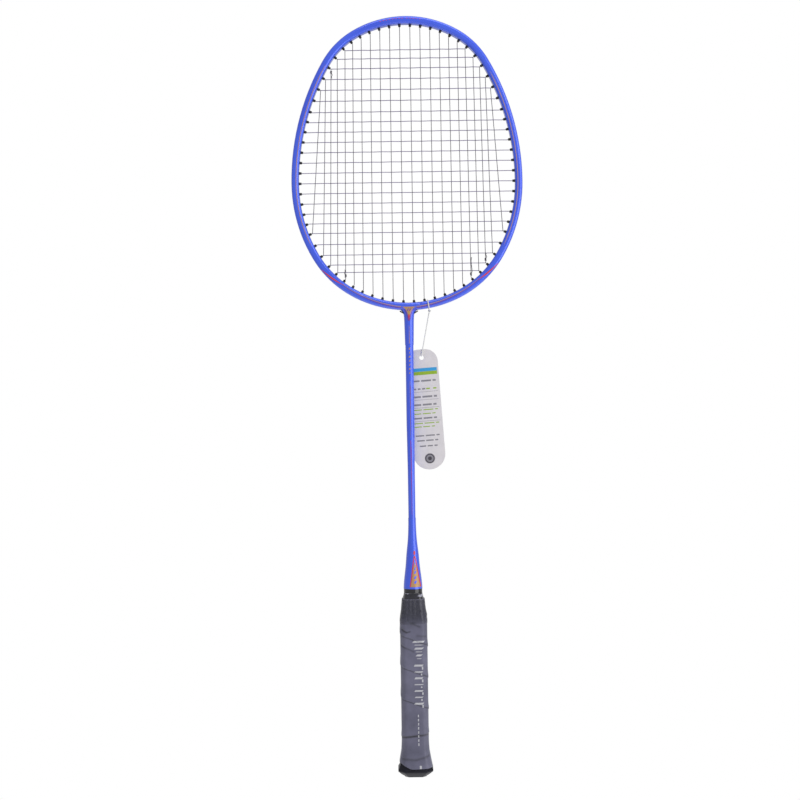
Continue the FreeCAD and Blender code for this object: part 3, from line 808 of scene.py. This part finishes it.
class RACKET_OT_shaft_lines(bpy.types.Operator):
    """Paint the lines and marks on the throat, the shaft and the cone"""
    bl_idname = "racket.shaft_lines"
    bl_label = "Lines on the shaft and cone"

    def execute(self, context):
        pots = paint_pots()
        surfaces = {name: surface_of(name) for name in ("throat_joint", "shaft", "cone_cap")}
        shaft, cone = surfaces["shaft"], surfaces["cone_cap"]
        gold, red, blue = (pots[name][1] for name in ("gold", "red", "blue"))
        for back in (False, True):
            side = -1 if back else 1
            for pot, name, low, high, wide_low, wide_high, x, rows in UPRIGHTS:
                shape = upright(low, high, wide_low, wide_high, x)
                pots[pot][1].append(laid(surfaces[name], 2, rows, shape, back, 0.05 * MM))
            for index, wide in enumerate(SHAFT_MARKS):
                gold.append(laid(shaft, 2, 3, slanted(0, 379.5 - 3.6 * index, wide, 1.7, 0.5), back, 0.05 * MM))

            def dot(a, b, side=side):
                angle = 2 * math.pi * a
                return (side * 1.6 + 0.85 * b * math.cos(angle)) * MM, (198.2 + 2.0 * b * math.sin(angle)) * MM
            red.append(laid(cone, 16, 3, dot, back, 0.06 * MM))

            def middle(z, side=side):
                return side * (2.2 - 0.02 * (z - FLAME_FOOT))

            for edge in (-1, 1):
                def flame(a, b, edge=edge):
                    z = 195.7 - 27.4 * b
                    far = eased(FLAME_EDGE, z)
                    near = max(0.0, far - 0.85)
                    return (middle(z) + edge * (near + (far - near) * a)) * MM, z * MM
                red.append(laid(cone, 3, 24, flame, back, 0.06 * MM))

            def heart(a, b):
                z = 190.7 - 22.4 * b
                half = (eased(FLAME_EDGE, z) - 0.9) * min(1.0, 0.05 + 4 * b)
                return (middle(z) + (2 * a - 1) * half) * MM, z * MM
            gold.append(laid(cone, 10, 20, heart, back, 0.12 * MM))
            for z, wide in ((184.4, 1.0), (181.2, 1.3), (176.6, 1.5), (172.6, 1.8)):
                blue.append(laid(cone, 3, 4, slanted(middle(z), z, wide, 2.5, 0.9), back, 0.18 * MM))
        keep_paint(pots, (("gold", "shaft_gold_lines"), ("red", "shaft_red_lines"),
                          ("violet", "shaft_violet_lines"), ("blue", "cone_blue_bars")))
        return {"FINISHED"}


# ------------------------------------------------------------------ operators: handle
GRIP_STATIONS = ((6.0, 15.35, 13.75), (9.5, 15.05, 13.45), (14.0, 14.1, 12.5), (23.0, 12.55, 11.5),
                 (31.5, 12.1, 11.0), (138.5, 12.1, 11.0), (147.0, 10.7, 9.9), (157.6, 9.7, 8.95))
GRIP_TOP = GRIP_STATIONS[-1][0]
SPIRAL_START = 17.0  # height in mm of the spiral edge where its turns are counted from
LEVEL_EDGE = 37.6  # height in mm of the level edge below the spiral
GRIP_WIDE, GRIP_DEEP = ([(station[0], station[index]) for station in GRIP_STATIONS] for index in (1, 2))


def eight_sided(angle, half_wide, half_deep, sharpness=22):
    """A point on a soft-cornered octagon, with the handle's wider and narrower flats."""
    x, y = math.cos(angle), math.sin(angle)
    wide, deep = abs(x) / half_wide, abs(y) / half_deep
    gauge = (wide ** sharpness + deep ** sharpness + ((0.42 * wide + 0.30 * deep) / 0.594) ** sharpness)
    reach = gauge ** (-1 / sharpness)
    return x * reach, y * reach


def soft_step(value):
    """0 below 0, 1 above 1, and a smooth rise between."""
    value = min(1.0, max(0.0, value))
    return value * value * (3 - 2 * value)


def wrap_stand(above, tail):
    """How far a wrap's edge stands out, as a share of its step, at a distance above the edge in millimetres."""
    if above < 0:
        return -0.55 * math.exp(-(above / 0.7) ** 2) + soft_step(1 + above / 0.35)
    return soft_step(1 - above / tail) ** 1.5


# Folds of the wrap: (angle in degrees, height in mm) of both ends, half width and depth in mm.
FOLDS = ((-141, 131.0, -121, 128.6, 0.75, 0.6), (-121, 128.6, -108, 129.4, 0.6, 0.45),
         (-176, 119.8, -129, 115.2, 0.6, 0.5), (-129, 115.2, -92, 111.6, 0.7, 0.32),
         (-104, 137.0, -66, 133.6, 0.8, 0.35), (-76, 125.6, -40, 124.8, 1.0, 0.22),
         (-142, 17.2, -88, 16.2, 1.1, 0.3), (-88, 16.2, -35, 19.6, 1.1, 0.3),
         (-124, 27.4, -96, 25.4, 0.9, -0.16), (60, 88.0, 118, 80.5, 0.8, 0.3), (20, 64.0, 70, 58.0, 0.8, 0.25))
MID_RADIUS = 11.8  # of the grip in mm, to measure folds along its surface


def above_spiral(angle, z):
    """Height in millimetres above the spiral's edge below a spot, and the spiral's pitch."""
    pitch = sizes().wrap_pitch / MM
    return (z - SPIRAL_START + pitch * (angle + math.pi) / (2 * math.pi)) % pitch, pitch


def above_level(angle, z):
    """Height in millimetres above the wrap's level edge."""
    return z - LEVEL_EDGE - 1.4 * math.cos(angle)


def fold_depth(angle, z):
    """How far the folds draw the wrap in, at an angle and a height in millimetres."""
    drawn = 0.0
    for first_angle, first_z, last_angle, last_z, half, depth in FOLDS:
        if min(first_z, last_z) - 4 < z < max(first_z, last_z) + 4:
            x = (math.degrees(angle) - first_angle) * math.pi / 180 * MID_RADIUS
            along_x, along_z = (last_angle - first_angle) * math.pi / 180 * MID_RADIUS, last_z - first_z
            share = (x * along_x + (z - first_z) * along_z) / (along_x ** 2 + along_z ** 2)
            share = min(1.0, max(0.0, share))
            gap = math.hypot(x - share * along_x, z - first_z - share * along_z)
            drawn = max(drawn, depth * math.exp(-(gap / half) ** 2), key=abs)
    return drawn


def grip_spot(angle, z, lift=0.0):
    """A point on the wrapped grip, at a height in millimetres."""
    wide, deep = eased(GRIP_WIDE, z), eased(GRIP_DEEP, z)
    size = sizes().wrap_step / MM
    above, pitch = above_spiral(angle, z)
    if above > pitch - 2:
        above -= pitch
    spiral = soft_step((z - 50) / 10) * soft_step((157 - z) / 12)
    level = soft_step((60 - z) / 8) * (0.75 - 0.25 * math.sin(angle))
    stand = lift + size * spiral * wrap_stand(above, 8.0) + size * level * wrap_stand(above_level(angle, z), 7.0)
    stand -= fold_depth(angle, z)
    crease = min(1.0, max(0.0, (z - 136) / 14))
    stand += crease * 0.16 * math.sin(17 * angle + 1.3 * math.sin(3 * angle) + 0.05 * z)
    x, y = eight_sided(angle, wide + stand, deep + stand)
    return Vector((x, y, z)) * MM


def painted_gap_shade(angle, z):
    """How much painted shade darkens the grip's colour in the gap beside a wrap's edge or in a fold, 0 to 1."""
    above, pitch = above_spiral(angle, z)
    spiral = soft_step((z - 50) / 10) * soft_step((134 - z) / 6)
    shadow = 0.75 * spiral * math.exp(-((above - pitch + 0.3) / 0.55) ** 2)
    level_shade = 0.65 - 0.3 * math.sin(angle) - 0.25 * max(0.0, math.cos(angle))
    shadow = max(shadow, level_shade * math.exp(-((above_level(angle, z) + 0.45) / 0.95) ** 2))
    return max(shadow, min(0.85, 1.5 * fold_depth(angle, z)))


def grip_edge(angle):
    """Height in millimetres of the wrap's lower edge, which is cut back on one side of the butt."""
    return 8.4 + 0.7 * max(0.0, math.cos(angle)) + 4.8 * soft_step((-math.cos(angle) - 0.2) / 0.7)


class RACKET_OT_grip(bpy.types.Operator):
    """Wrap the handle: an overlapping spiral, cut back at the butt and gathered at the neck"""
    bl_idname = "racket.grip"
    bl_label = "Grip"

    def execute(self, context):
        shades = colours()

        def place(a, b):
            angle = 2 * math.pi * a - math.pi
            low = grip_edge(angle)
            return grip_spot(angle, low + (GRIP_TOP - low) * b)

        piece = sleeve(120, 250, place, 1.1 * MM)
        rubber = finish("Wrapped grip", shades.grip_worn, shades.grip, 0.5, sheen=0.25, coat=0.12,
                        coat_roughness=0.35, patch=55, grain=2300, grain_depth=0.04, roughness_spread=0.1)
        # Painted shade: each vertex stores how much shade falls in the wrap's gaps and folds.
        painted_shade = piece.data.attributes.new("painted_shade", "FLOAT", "POINT")
        for vertex, value in zip(piece.data.vertices, painted_shade.data):
            value.value = max(0.0, painted_gap_shade(math.atan2(vertex.co.y, vertex.co.x), vertex.co.z / MM))
        tree = rubber.node_tree
        read, mix = node(tree, "Attribute"), node(tree, "Mix")
        read.attribute_name = "painted_shade"
        mix.data_type = "RGBA"
        # The grip's colour is mixed towards this near black where the painted shade is stored.
        mix.inputs[7].default_value = (*paint(22, 22, 28), 1)
        wire(tree, (read, "Fac", mix, 0), (tree.nodes["Color Ramp"], "Color", mix, 6),
             (mix, 2, tree.nodes["Principled BSDF"], "Base Color"))
        keep(piece, "wrapped_grip", "racket", "grip", rubber, replaced=("grip_wrap",))
        return {"FINISHED"}


def grip_front(x, z, lift):
    """A point on the front of the grip at a width and a height in millimetres."""
    return grip_spot(halved(-math.pi, 0.0, lambda angle: grip_spot(angle, z, lift).x < x * MM), z, lift)


class RACKET_OT_grip_print(bpy.types.Operator):
    """Print the plain silver motif on the front of the grip"""
    bl_idname = "racket.grip_print"
    bl_label = "Print on the grip"

    def execute(self, context):
        silver = finish("Silver print", colours().silver, shade(colours().silver, 0.85), 0.35, metallic=0.3,
                        patch=260, grain=2300, grain_depth=0.05)
        parts = []

        def patch(x0, z0, wide, tall, slant=0.0):
            def place(a, b):
                return grip_front(x0 + (a - 0.5) * wide + (b - 0.5) * slant, z0 + (b - 0.5) * tall, 0.1)
            piece = sheet_of(max(2, round(wide / 0.4)), max(2, round(tall / 0.4)), place)
            turn_to(piece, -1)
            thicken(piece, 0.04 * MM)
            parts.append(piece)

        for index in range(3):
            patch(4.0 + 0.2 * index, 120.5 - 6.0 * index, 9.5 - 2.4 * index, 1.7, slant=1.8)
            patch(4.0 + 0.2 * index, 117.6 - 6.0 * index, 7.0 - 1.6 * index, 0.6, slant=0.7)
        for index, tall in enumerate((5.0, 3.4, 5.0, 2.6, 4.2, 3.4, 5.0)):
            patch(3.8, 99.5 - 5.6 * index, 7.6 - 0.4 * (index % 3), tall * 0.34, slant=1.0)
            patch(7.2 - 0.9 * (index % 2), 97.2 - 5.6 * index, 1.2, tall * 0.5)
        for index in range(8):
            patch(3.0, 55.0 - 3.6 * index, 0.9, 2.2)
        patch(4.4, 10.2, 1.8, 2.8)
        keep(joined(parts), "grip_motif", "racket", "grip", silver)
        return {"FINISHED"}


def crumple(angle, waves, along):
    """Soft noise round the handle; more waves make it finer."""
    return noise.noise(Vector((math.cos(angle) * waves, math.sin(angle) * waves, along)))


class RACKET_OT_neck_film(bpy.types.Operator):
    """Make the dark tape at the handle's neck, the creased film drawn over the grip's upper end, and pale film
    lips on the tape whose pale colour is a painted glint
    """
    bl_idname = "racket.neck_film"
    bl_label = "Tape and film at the neck"

    def execute(self, context):
        depth = sizes().crease_depth / MM

        def tape_spot(angle, b, lift=0.0):
            z = 155.6 + 7.3 * b
            half = 9.6 - 1.42 * b + lift
            wrinkle, fine = crumple(angle, 5, z * 0.42), crumple(angle, 14, z * 1.3 + 7)
            half += depth * (0.9 * wrinkle + 0.55 * fine) * (1 - 0.7 * b)
            ragged = 1.3 * crumple(angle, 3, 2.0) * (1 - b)
            x, y = eight_sided(angle, half, half * (0.93 + 0.07 * b), 10)
            return Vector((x, y, z + ragged)) * MM

        tape = sleeve(120, 18, lambda a, b: tape_spot(2 * math.pi * a, b), 0.5 * MM)
        dark = finish("Dark tape", paint(38, 38, 52), paint(18, 18, 28), 0.2, coat=0.6, coat_roughness=0.1,
                      patch=420, grain=900, grain_depth=0.05, roughness_spread=0.08)
        keep(tape, "neck_tape", "racket", "film", dark, replaced=("finishing_tape",))

        def film_place(a, b):
            angle = 2 * math.pi * a
            edge = 135.2 + 1.1 * math.cos(angle + 0.7) + 0.8 * crumple(angle, 2, 5)
            z = edge + (157.2 - edge) * b
            return grip_spot(angle, z, 0.3 + 0.2 * max(0.0, crumple(angle, 4, z * 0.09)) * (1.1 - b))

        film = sleeve(150, 30, film_place, 0.06 * MM)
        clear = finish("Creased film", paint(70, 70, 84), paint(60, 61, 73), 0.35, coat=0.4, coat_roughness=0.25,
                       patch=30, grain=40, grain_depth=0.0, roughness_spread=0.03)
        tree = clear.node_tree
        split = node(tree, "SeparateXYZ")
        fade = node(tree, "MapRange", From_Min=134 * MM, From_Max=149 * MM, To_Min=0.04, To_Max=0.58)
        wire(tree, (tree.nodes["Texture Coordinate"], "Object", split, "Vector"), (split, "Z", fade, "Value"),
             (fade, "Result", tree.nodes["Principled BSDF"], "Alpha"))
        keep(film, "neck_film", "racket", "film", clear)

        edges = []
        for first, last, low, high, columns, opening in (
                (-160, -112, 0.93, 1.0, 20, 1), (-66, -24, 0.45, 0.95, 16, 1), (-100, -18, 0.0, 0.13, 32, 4)):
            def lip(a, b, first=first, last=last, low=low, high=high, opening=opening):
                angle = math.radians(first + (last - first) * a)
                taper = min(1.0, opening * a, 4 * (1 - a))
                ripple = 0.1 * crumple(angle, 4, low * 9)
                share = low + (high - low) * (0.5 + (b - 0.5) * (0.15 + 0.85 * taper)) + ripple * (1 - b) * taper
                return tape_spot(angle, min(1.0, max(0.0, share)), 0.12)
            edges.append(sheet_of(columns, 6, lip))
            in_edit_mode(edges[-1], merge_doubles)
            thicken(edges[-1], 0.06 * MM)
            in_edit_mode(edges[-1], face_outwards)
        # Painted glint: the lips are pale to stand in for light reflected off the curled edges of the clear film.
        pale = finish("Film edge with painted glint", paint(186, 186, 202), paint(140, 140, 158), 0.25, coat=0.8, coat_roughness=0.1,
                      alpha=0.75, patch=500, grain=900, grain_depth=0.03)
        keep(joined(edges), "film_edges_painted_glint", "racket", "film", pale)
        return {"FINISHED"}


BUTT_FOOT = (9.2, 7.7)  # half width and half depth in mm of the cap's end face
BUTT_STATIONS = (  # height, half width and half depth of the cap above its lowest chamfer, in mm
    (0.9, 9.9, 8.4), (2.9, 12.6, 11.0), (5.6, 15.4, 13.75), (7.0, 15.5, 13.85), (7.3, 14.9, 13.3),
    (9.5, 14.0, 12.4), (12.6, 13.4, 11.9), (14.2, 12.6, 11.0), (23.0, 11.2, 10.1), (27.5, 11.2, 10.1))


class RACKET_OT_butt(bpy.types.Operator):
    """Mould the flared butt cap with its chamfers and its step for the grip"""
    bl_idname = "racket.butt"
    bl_label = "Butt cap"

    def execute(self, context):
        nothing_selected()
        bpy.ops.mesh.primitive_cube_add(size=2, location=(0, 0, 1.0))
        cap = bpy.context.object
        bpy.ops.object.transform_apply(location=True, rotation=False, scale=False)

        in_edit_mode(cap, lambda: bpy.ops.mesh.select_all(action="DESELECT"))
        for edge in cap.data.edges:
            a, b = (cap.data.vertices[index].co for index in edge.vertices)
            edge.select = abs(a.z - b.z) > 1
        bpy.ops.object.mode_set(mode="EDIT")
        bpy.ops.mesh.select_mode(type="EDGE")
        bpy.ops.mesh.bevel(offset=0.36, segments=1, affect="EDGES")
        bpy.ops.mesh.select_mode(type="FACE")
        bpy.ops.object.mode_set(mode="OBJECT")
        for vertex in cap.data.vertices:
            z, half_wide, half_deep = BUTT_STATIONS[0] if vertex.co.z > 1 else (0.0, *BUTT_FOOT)
            vertex.co = (vertex.co.x * half_wide * MM, vertex.co.y * half_deep * MM, z * MM)
        for (z0, wide0, deep0), (z1, wide1, deep1) in zip(BUTT_STATIONS, BUTT_STATIONS[1:]):
            only(cap)
            for face in cap.data.polygons:
                face.select = face.normal.z > 0.9 and abs(face.center.z - z0 * MM) < 1e-6
            for edge in cap.data.edges:
                edge.select = False
            for vertex in cap.data.vertices:
                vertex.select = abs(vertex.co.z - z0 * MM) < 1e-6
            bpy.ops.object.mode_set(mode="EDIT")
            bpy.ops.mesh.select_mode(type="FACE")
            bpy.ops.mesh.extrude_region_move(TRANSFORM_OT_translate={"value": (0, 0, (z1 - z0) * MM)})
            bpy.ops.transform.resize(value=(wide1 / wide0, deep1 / deep0, 1), center_override=(0, 0, z1 * MM))
            bpy.ops.object.mode_set(mode="OBJECT")
        only(cap)
        apply_modifier(cap, "BEVEL", width=0.3 * MM, segments=3, limit_method="ANGLE",
                       angle_limit=math.radians(20))
        bpy.ops.object.shade_smooth_by_angle(angle=math.radians(30))
        black = finish("Moulded black", paint(18, 18, 32), paint(11, 11, 22), 0.4, coat=0.1, coat_roughness=0.2,
                       patch=120, grain=2600, grain_depth=0.004, specular=0.22)
        keep(cap, "moulded_butt_cap", "racket", "black_plastic", black, replaced=("butt_cap",))
        return {"FINISHED"}


# ------------------------------------------------------------------ operators: tag
KNOT = Vector((18.3098, 4.15, 413.0834)) * MM
HANG = Vector((10.6, 4.15, 372.8834)) * MM
TAG_LEAN = math.radians(3.8)
LOOP_SHARE = 0.27  # where the loop is, from the last hole but one towards the one above
LOOP_GAP = 0.62  # from the frame to the loop's middle line, in mm
LOOP_QUARTER = ((-LOOP_GAP, 0), (-LOOP_GAP, 2.6), (-0.35, 4.9), (1.0, 5 + LOOP_GAP), (3.3, 5 + LOOP_GAP),
                (5.6, 5 + LOOP_GAP), (6.95, 4.9), (6.6 + LOOP_GAP, 2.6), (6.6 + LOOP_GAP, 0))
KNOT_POINTS = 24


def tag_route():
    """The doubled thread from the knot through the tag's hole and back up."""
    along = (HANG - KNOT).normalized()
    apart, low = Vector((0, 0.575 * MM, 0)), Vector((0, 0.9 * MM, 0))
    top = KNOT + along * 1.65 * MM
    near = HANG - along * 6 * MM
    return [top - apart, near - low, HANG - low, HANG + low, near + low, top + apart]


class RACKET_OT_tag_thread(bpy.types.Operator):
    """Hang the tag on its doubled thread, with the loop round the head and the knot"""
    bl_idname = "racket.tag_thread"
    bl_label = "Tag thread"

    def execute(self, context):
        shades, radius = colours(), sizes().thread_radius
        white = finish("Twisted thread", shades.thread, shade(shades.thread, 0.82), 0.75, sheen=0.4, patch=900,
                       grain=5200, grain_depth=0.05, specular=0.3)
        route = curve_line("thread_route", tag_route(), order=3, detail=24)
        route.data.splines[0].order_u = 3
        route.data.splines[0].use_endpoint_u = True
        line = line_of(route)
        bpy.data.objects.remove(route)
        cord = keep(twisted_thread("tag_thread", line, radius), "tag_thread", "tag_cord", "white_thread", white,
                    replaced=("tag_cord",))
        travelled = sum((b - a).length for a, b in zip(line, line[1:]))
        tuple(line[0])
        [tuple(point) for point in line]

        arc, near = HOLES[-2]
        heading = near + LOOP_SHARE * (HOLES[-3][1] - near)
        ring = []
        for u, y in LOOP_QUARTER + tuple((u, -y) for u, y in LOOP_QUARTER[-2:0:-1]):
            x, z = on_head((arc, heading), u * MM)
            ring.append(Vector((x, y * MM, z)))
        keep(twisted_thread("head_loop", closed_line(ring, 3, 10), radius, closed=True), "head_loop", "racket",
             "white_thread", white, replaced=("tag_loop",))

        tied = []
        for step in range(KNOT_POINTS):
            turn = 2 * math.pi * step / KNOT_POINTS
            angle, lobe = 2 * turn, 3 * turn
            reach = (0.62 + 0.36 * math.cos(lobe)) * MM
            tied.append(KNOT + Vector((reach * math.cos(angle), 0.42 * MM * math.sin(lobe),
                                       reach * math.sin(angle))))
        knot = twisted_thread("tied_knot", closed_line(tied, 4, 6), radius * 0.95, closed=True, sides=10)
        keep(knot, "tied_knot", "racket", "white_thread", white, replaced=("tag_knot",))
        return {"FINISHED"}


GREY, BLUE, GREEN, DARK = range(4)
CARD_HALF = 0.25 * MM
INK_BUILD = 0.025 * MM
TAG_ROWS = (  # how far below the hole, left and right ends, height of the row in mm, and its ink
    (22.1, -11.5, 11.0, 1.5, GREY), (29.2, -11.5, 1.0, 1.4, GREY), (29.2, 2.0, 11.0, 1.2, GREEN),
    (36.3, -11.5, 11.0, 1.6, GREY), (43.4, -11.5, 10.0, 1.6, GREY), (47.9, -11.5, 11.0, 0.8, GREEN),
    (51.4, -11.5, 8.5, 0.8, GREEN), (55.4, -11.5, 9.5, 1.4, GREY), (59.9, -11.5, 11.0, 0.8, GREEN),
    (63.0, -11.5, 7.0, 0.8, GREEN), (71.0, -11.0, 10.5, 1.2, GREY), (75.4, -10.0, 9.0, 1.2, GREY),
    (80.3, -8.0, 8.0, 1.2, GREY))


class RACKET_OT_tag_print(bpy.types.Operator):
    """Print plain bands, bars and a round mark on the tag"""
    bl_idname = "racket.tag_print"
    bl_label = "Print on the tag"

    def execute(self, context):
        shades = colours()
        inks = [finish(name, value, shade(value, 0.9), 0.4, coat=0.2, patch=300, grain=2600, grain_depth=0.01)
                for name, value in (("Grey ink", shades.print_grey), ("Blue ink", shades.print_blue),
                                    ("Green ink", shades.print_green), ("Dark ink", paint(70, 66, 76)))]
        parts = []

        def on_tag(across, down, y):
            x = HANG.x + (across * math.cos(TAG_LEAN) + down * math.sin(TAG_LEAN)) * MM
            z = HANG.z + (across * math.sin(TAG_LEAN) - down * math.cos(TAG_LEAN)) * MM
            return Vector((x, y, z))

        def inked(columns, rows, shape, ink, side=-1, order=0, *mend):
            y = HANG.y + side * (CARD_HALF + (0.015 + 0.03 * order) * MM)
            piece = sheet_of(columns, rows, lambda a, b: on_tag(*shape(a, b), y))
            in_edit_mode(piece, *mend)
            turn_to(piece, side)
            thicken(piece, INK_BUILD)
            piece.data.materials.append(inks[ink])
            parts.append(piece)

        def bar(centre, down, wide, tall, ink, side=-1):
            inked(2, 1, lambda a, b: (centre + (a - 0.5) * wide, down + (0.5 - b) * tall), ink, side)

        for side in (-1, 1):
            bar(0, 12.2, 25.5, 3.0, BLUE, side)
            bar(0, 15.3, 25.5, 3.0, GREEN, side)
        for down, left, right, tall, ink in TAG_ROWS:
            gap, last = 1.4, right - 4.2
            second = left + (right - left) * 0.36
            for start, end in ((left, second), (second + gap, last), (last + gap, right)):
                if end - start > 1:
                    bar((start + end) / 2, down, end - start, tall, ink)
        for down in (31.9, 39.0, 46.1, 58.1):
            bar(0, down, 24.5, 0.25, GREY)
        for down, wide in ((30, 20), (36, 16), (42, 20), (60, 12)):
            bar(0, down, wide, 1.3, GREY, 1)
        for order, (radius, ink) in enumerate(((4.6, GREY), (4.1, DARK), (3.3, GREY), (1.7, DARK))):
            def disc(a, b, radius=radius):
                angle = 2 * math.pi * a
                return 0.2 + radius * b * math.cos(angle), 91.6 + radius * b * math.sin(angle)
            inked(28, 2, disc, ink, -1, order, merge_doubles, drop_slivers, face_outwards)
        keep(joined(parts), "tag_print", "tag", "card")
        return {"FINISHED"}


PAD_OUTLINE = ((4.6, 411.6), (7.9, 413.5), (8.3, 412.7), (4.3, 410.3))  # x and z in mm, clockwise from upper left
PAD_HALF_DEPTH = 1.9


class RACKET_OT_groove_ends(bpy.types.Operator):
    """Set the black groove ends beside the throat"""
    bl_idname = "racket.groove_ends"
    bl_label = "Groove ends"

    def execute(self, context):
        black = finish("Groove end", paint(26, 22, 40), paint(16, 14, 24), 0.35, coat=0.4, patch=300, grain=2200,
                       grain_depth=0.02)
        parts = []
        for side in (-1, 1):
            nothing_selected()
            bpy.ops.mesh.primitive_cube_add(size=1)
            pad = bpy.context.object
            for vertex in pad.data.vertices:
                right, upper = vertex.co.x > 0, vertex.co.z > 0
                x, z = PAD_OUTLINE[(1 if right else 0) if upper else (2 if right else 3)]
                vertex.co = Vector((side * x, math.copysign(PAD_HALF_DEPTH, vertex.co.y), z)) * MM
            in_edit_mode(pad, face_outwards)
            apply_modifier(pad, "BEVEL", width=0.25 * MM, segments=3)
            only(pad)
            bpy.ops.object.shade_smooth()
            parts.append(pad)
        keep(joined(parts), "groove_ends", "racket", "grommet", black)
        return {"FINISHED"}


# ------------------------------------------------------------------ stage
CAMERA_PLACE, CAMERA_ROLL = (-0.0091, -1.2265, 0.334), -0.86


class RACKET_OT_stage(bpy.types.Operator):
    """Set the pale floor, the soft lights and the camera"""
    bl_idname = "racket.stage"
    bl_label = "Stage"

    def execute(self, context):
        scene = context.scene
        nothing_selected()
        bpy.ops.mesh.primitive_circle_add(vertices=96, radius=1.0, fill_type="NGON", location=(0, 0, -0.35))
        floor = context.object
        floor.name = "floor"
        bpy.ops.object.transform_apply(location=True, rotation=False, scale=False)
        pale = finish("Floor", (0.92, 0.92, 0.92), (0.9, 0.9, 0.9), 0.9, patch=2, grain=200, specular=0.1)
        glow = pale.node_tree.nodes["Principled BSDF"]
        glow.inputs["Emission Color"].default_value = (1, 1, 1, 1)
        glow.inputs["Emission Strength"].default_value = 0.3
        floor.data.materials.append(pale)
        world = bpy.data.worlds.new("Studio")
        world.use_nodes = True
        tree = world.node_tree
        background = tree.nodes["Background"]
        background.inputs["Color"].default_value = (1, 1, 1, 1)
        path, level = node(tree, "LightPath"), node(tree, "MapRange", To_Min=0.5, To_Max=1.0)
        wire(tree, (path, "Is Camera Ray", level, "Value"), (level, "Result", background, "Strength"))
        scene.world = world
        scene.view_settings.view_transform = "Standard"
        for name, place, target, wide, tall, power in (
                ("key", (0.95, -0.8, 0.55), (0, 0, 0.35), 1.1, 1.5, 8.5),
                ("top", (0.1, -0.45, 1.5), (0, 0, 0.5), 0.9, 0.7, 3.5)):
            light = bpy.data.lights.new(name, "AREA")
            light.shape = "RECTANGLE"
            light.size, light.size_y, light.energy = wide, tall, power
            lamp = bpy.data.objects.new(name, light)
            lamp.location = place
            lamp.rotation_euler = (Vector(target) - Vector(place)).to_track_quat("-Z", "Y").to_euler()
            scene.collection.objects.link(lamp)
        camera = bpy.data.objects.new("camera", bpy.data.cameras.new("camera"))
        camera.data.lens = 62
        camera.data.sensor_width = 36
        camera.data.clip_start = 0.01
        camera.matrix_world = (Matrix.Translation(CAMERA_PLACE) @ Matrix.Rotation(math.pi / 2, 4, "X")
                               @ Matrix.Rotation(math.radians(CAMERA_ROLL), 4, "Z"))
        scene.collection.objects.link(camera)
        scene.camera = camera
        return {"FINISHED"}


PIECES = (RACKET_OT_stage, RACKET_OT_finishes, RACKET_OT_tag_print, RACKET_OT_tag_thread, RACKET_OT_strings,
          RACKET_OT_string_knots, RACKET_OT_head_lines, RACKET_OT_shaft_lines, RACKET_OT_groove_ends,
          RACKET_OT_grip, RACKET_OT_grip_print, RACKET_OT_neck_film, RACKET_OT_butt)


class RACKET_PT_pieces(bpy.types.Panel):
    """The racket's pieces, sizes and colours"""
    bl_idname = "RACKET_PT_pieces"
    bl_label = "Badminton Racket"
    bl_space_type = "VIEW_3D"
    bl_region_type = "UI"
    bl_category = "Racket"

    def draw(self, context):
        for operator in PIECES:
            self.layout.operator(operator.bl_idname)
        for group in (context.scene.racket_sizes, context.scene.racket_colours):
            box = self.layout.box()
            for key in group.__annotations__:
                box.prop(group, key)


CLASSES = (RacketSizes, RacketColours, *PIECES, RACKET_PT_pieces)


def register():
    for one in CLASSES:
        bpy.utils.register_class(one)
    bpy.types.Scene.racket_sizes = PointerProperty(type=RacketSizes)
    bpy.types.Scene.racket_colours = PointerProperty(type=RacketColours)


def unregister():
    del bpy.types.Scene.racket_colours
    del bpy.types.Scene.racket_sizes
    for one in reversed(CLASSES):
        bpy.utils.unregister_class(one)


def main():
    register()
    for operator in PIECES:
        group, name = operator.bl_idname.split(".")
        getattr(getattr(bpy.ops, group), name)()
    bpy.context.view_layer.update()
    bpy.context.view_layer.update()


if __name__ == "__main__":
    main()
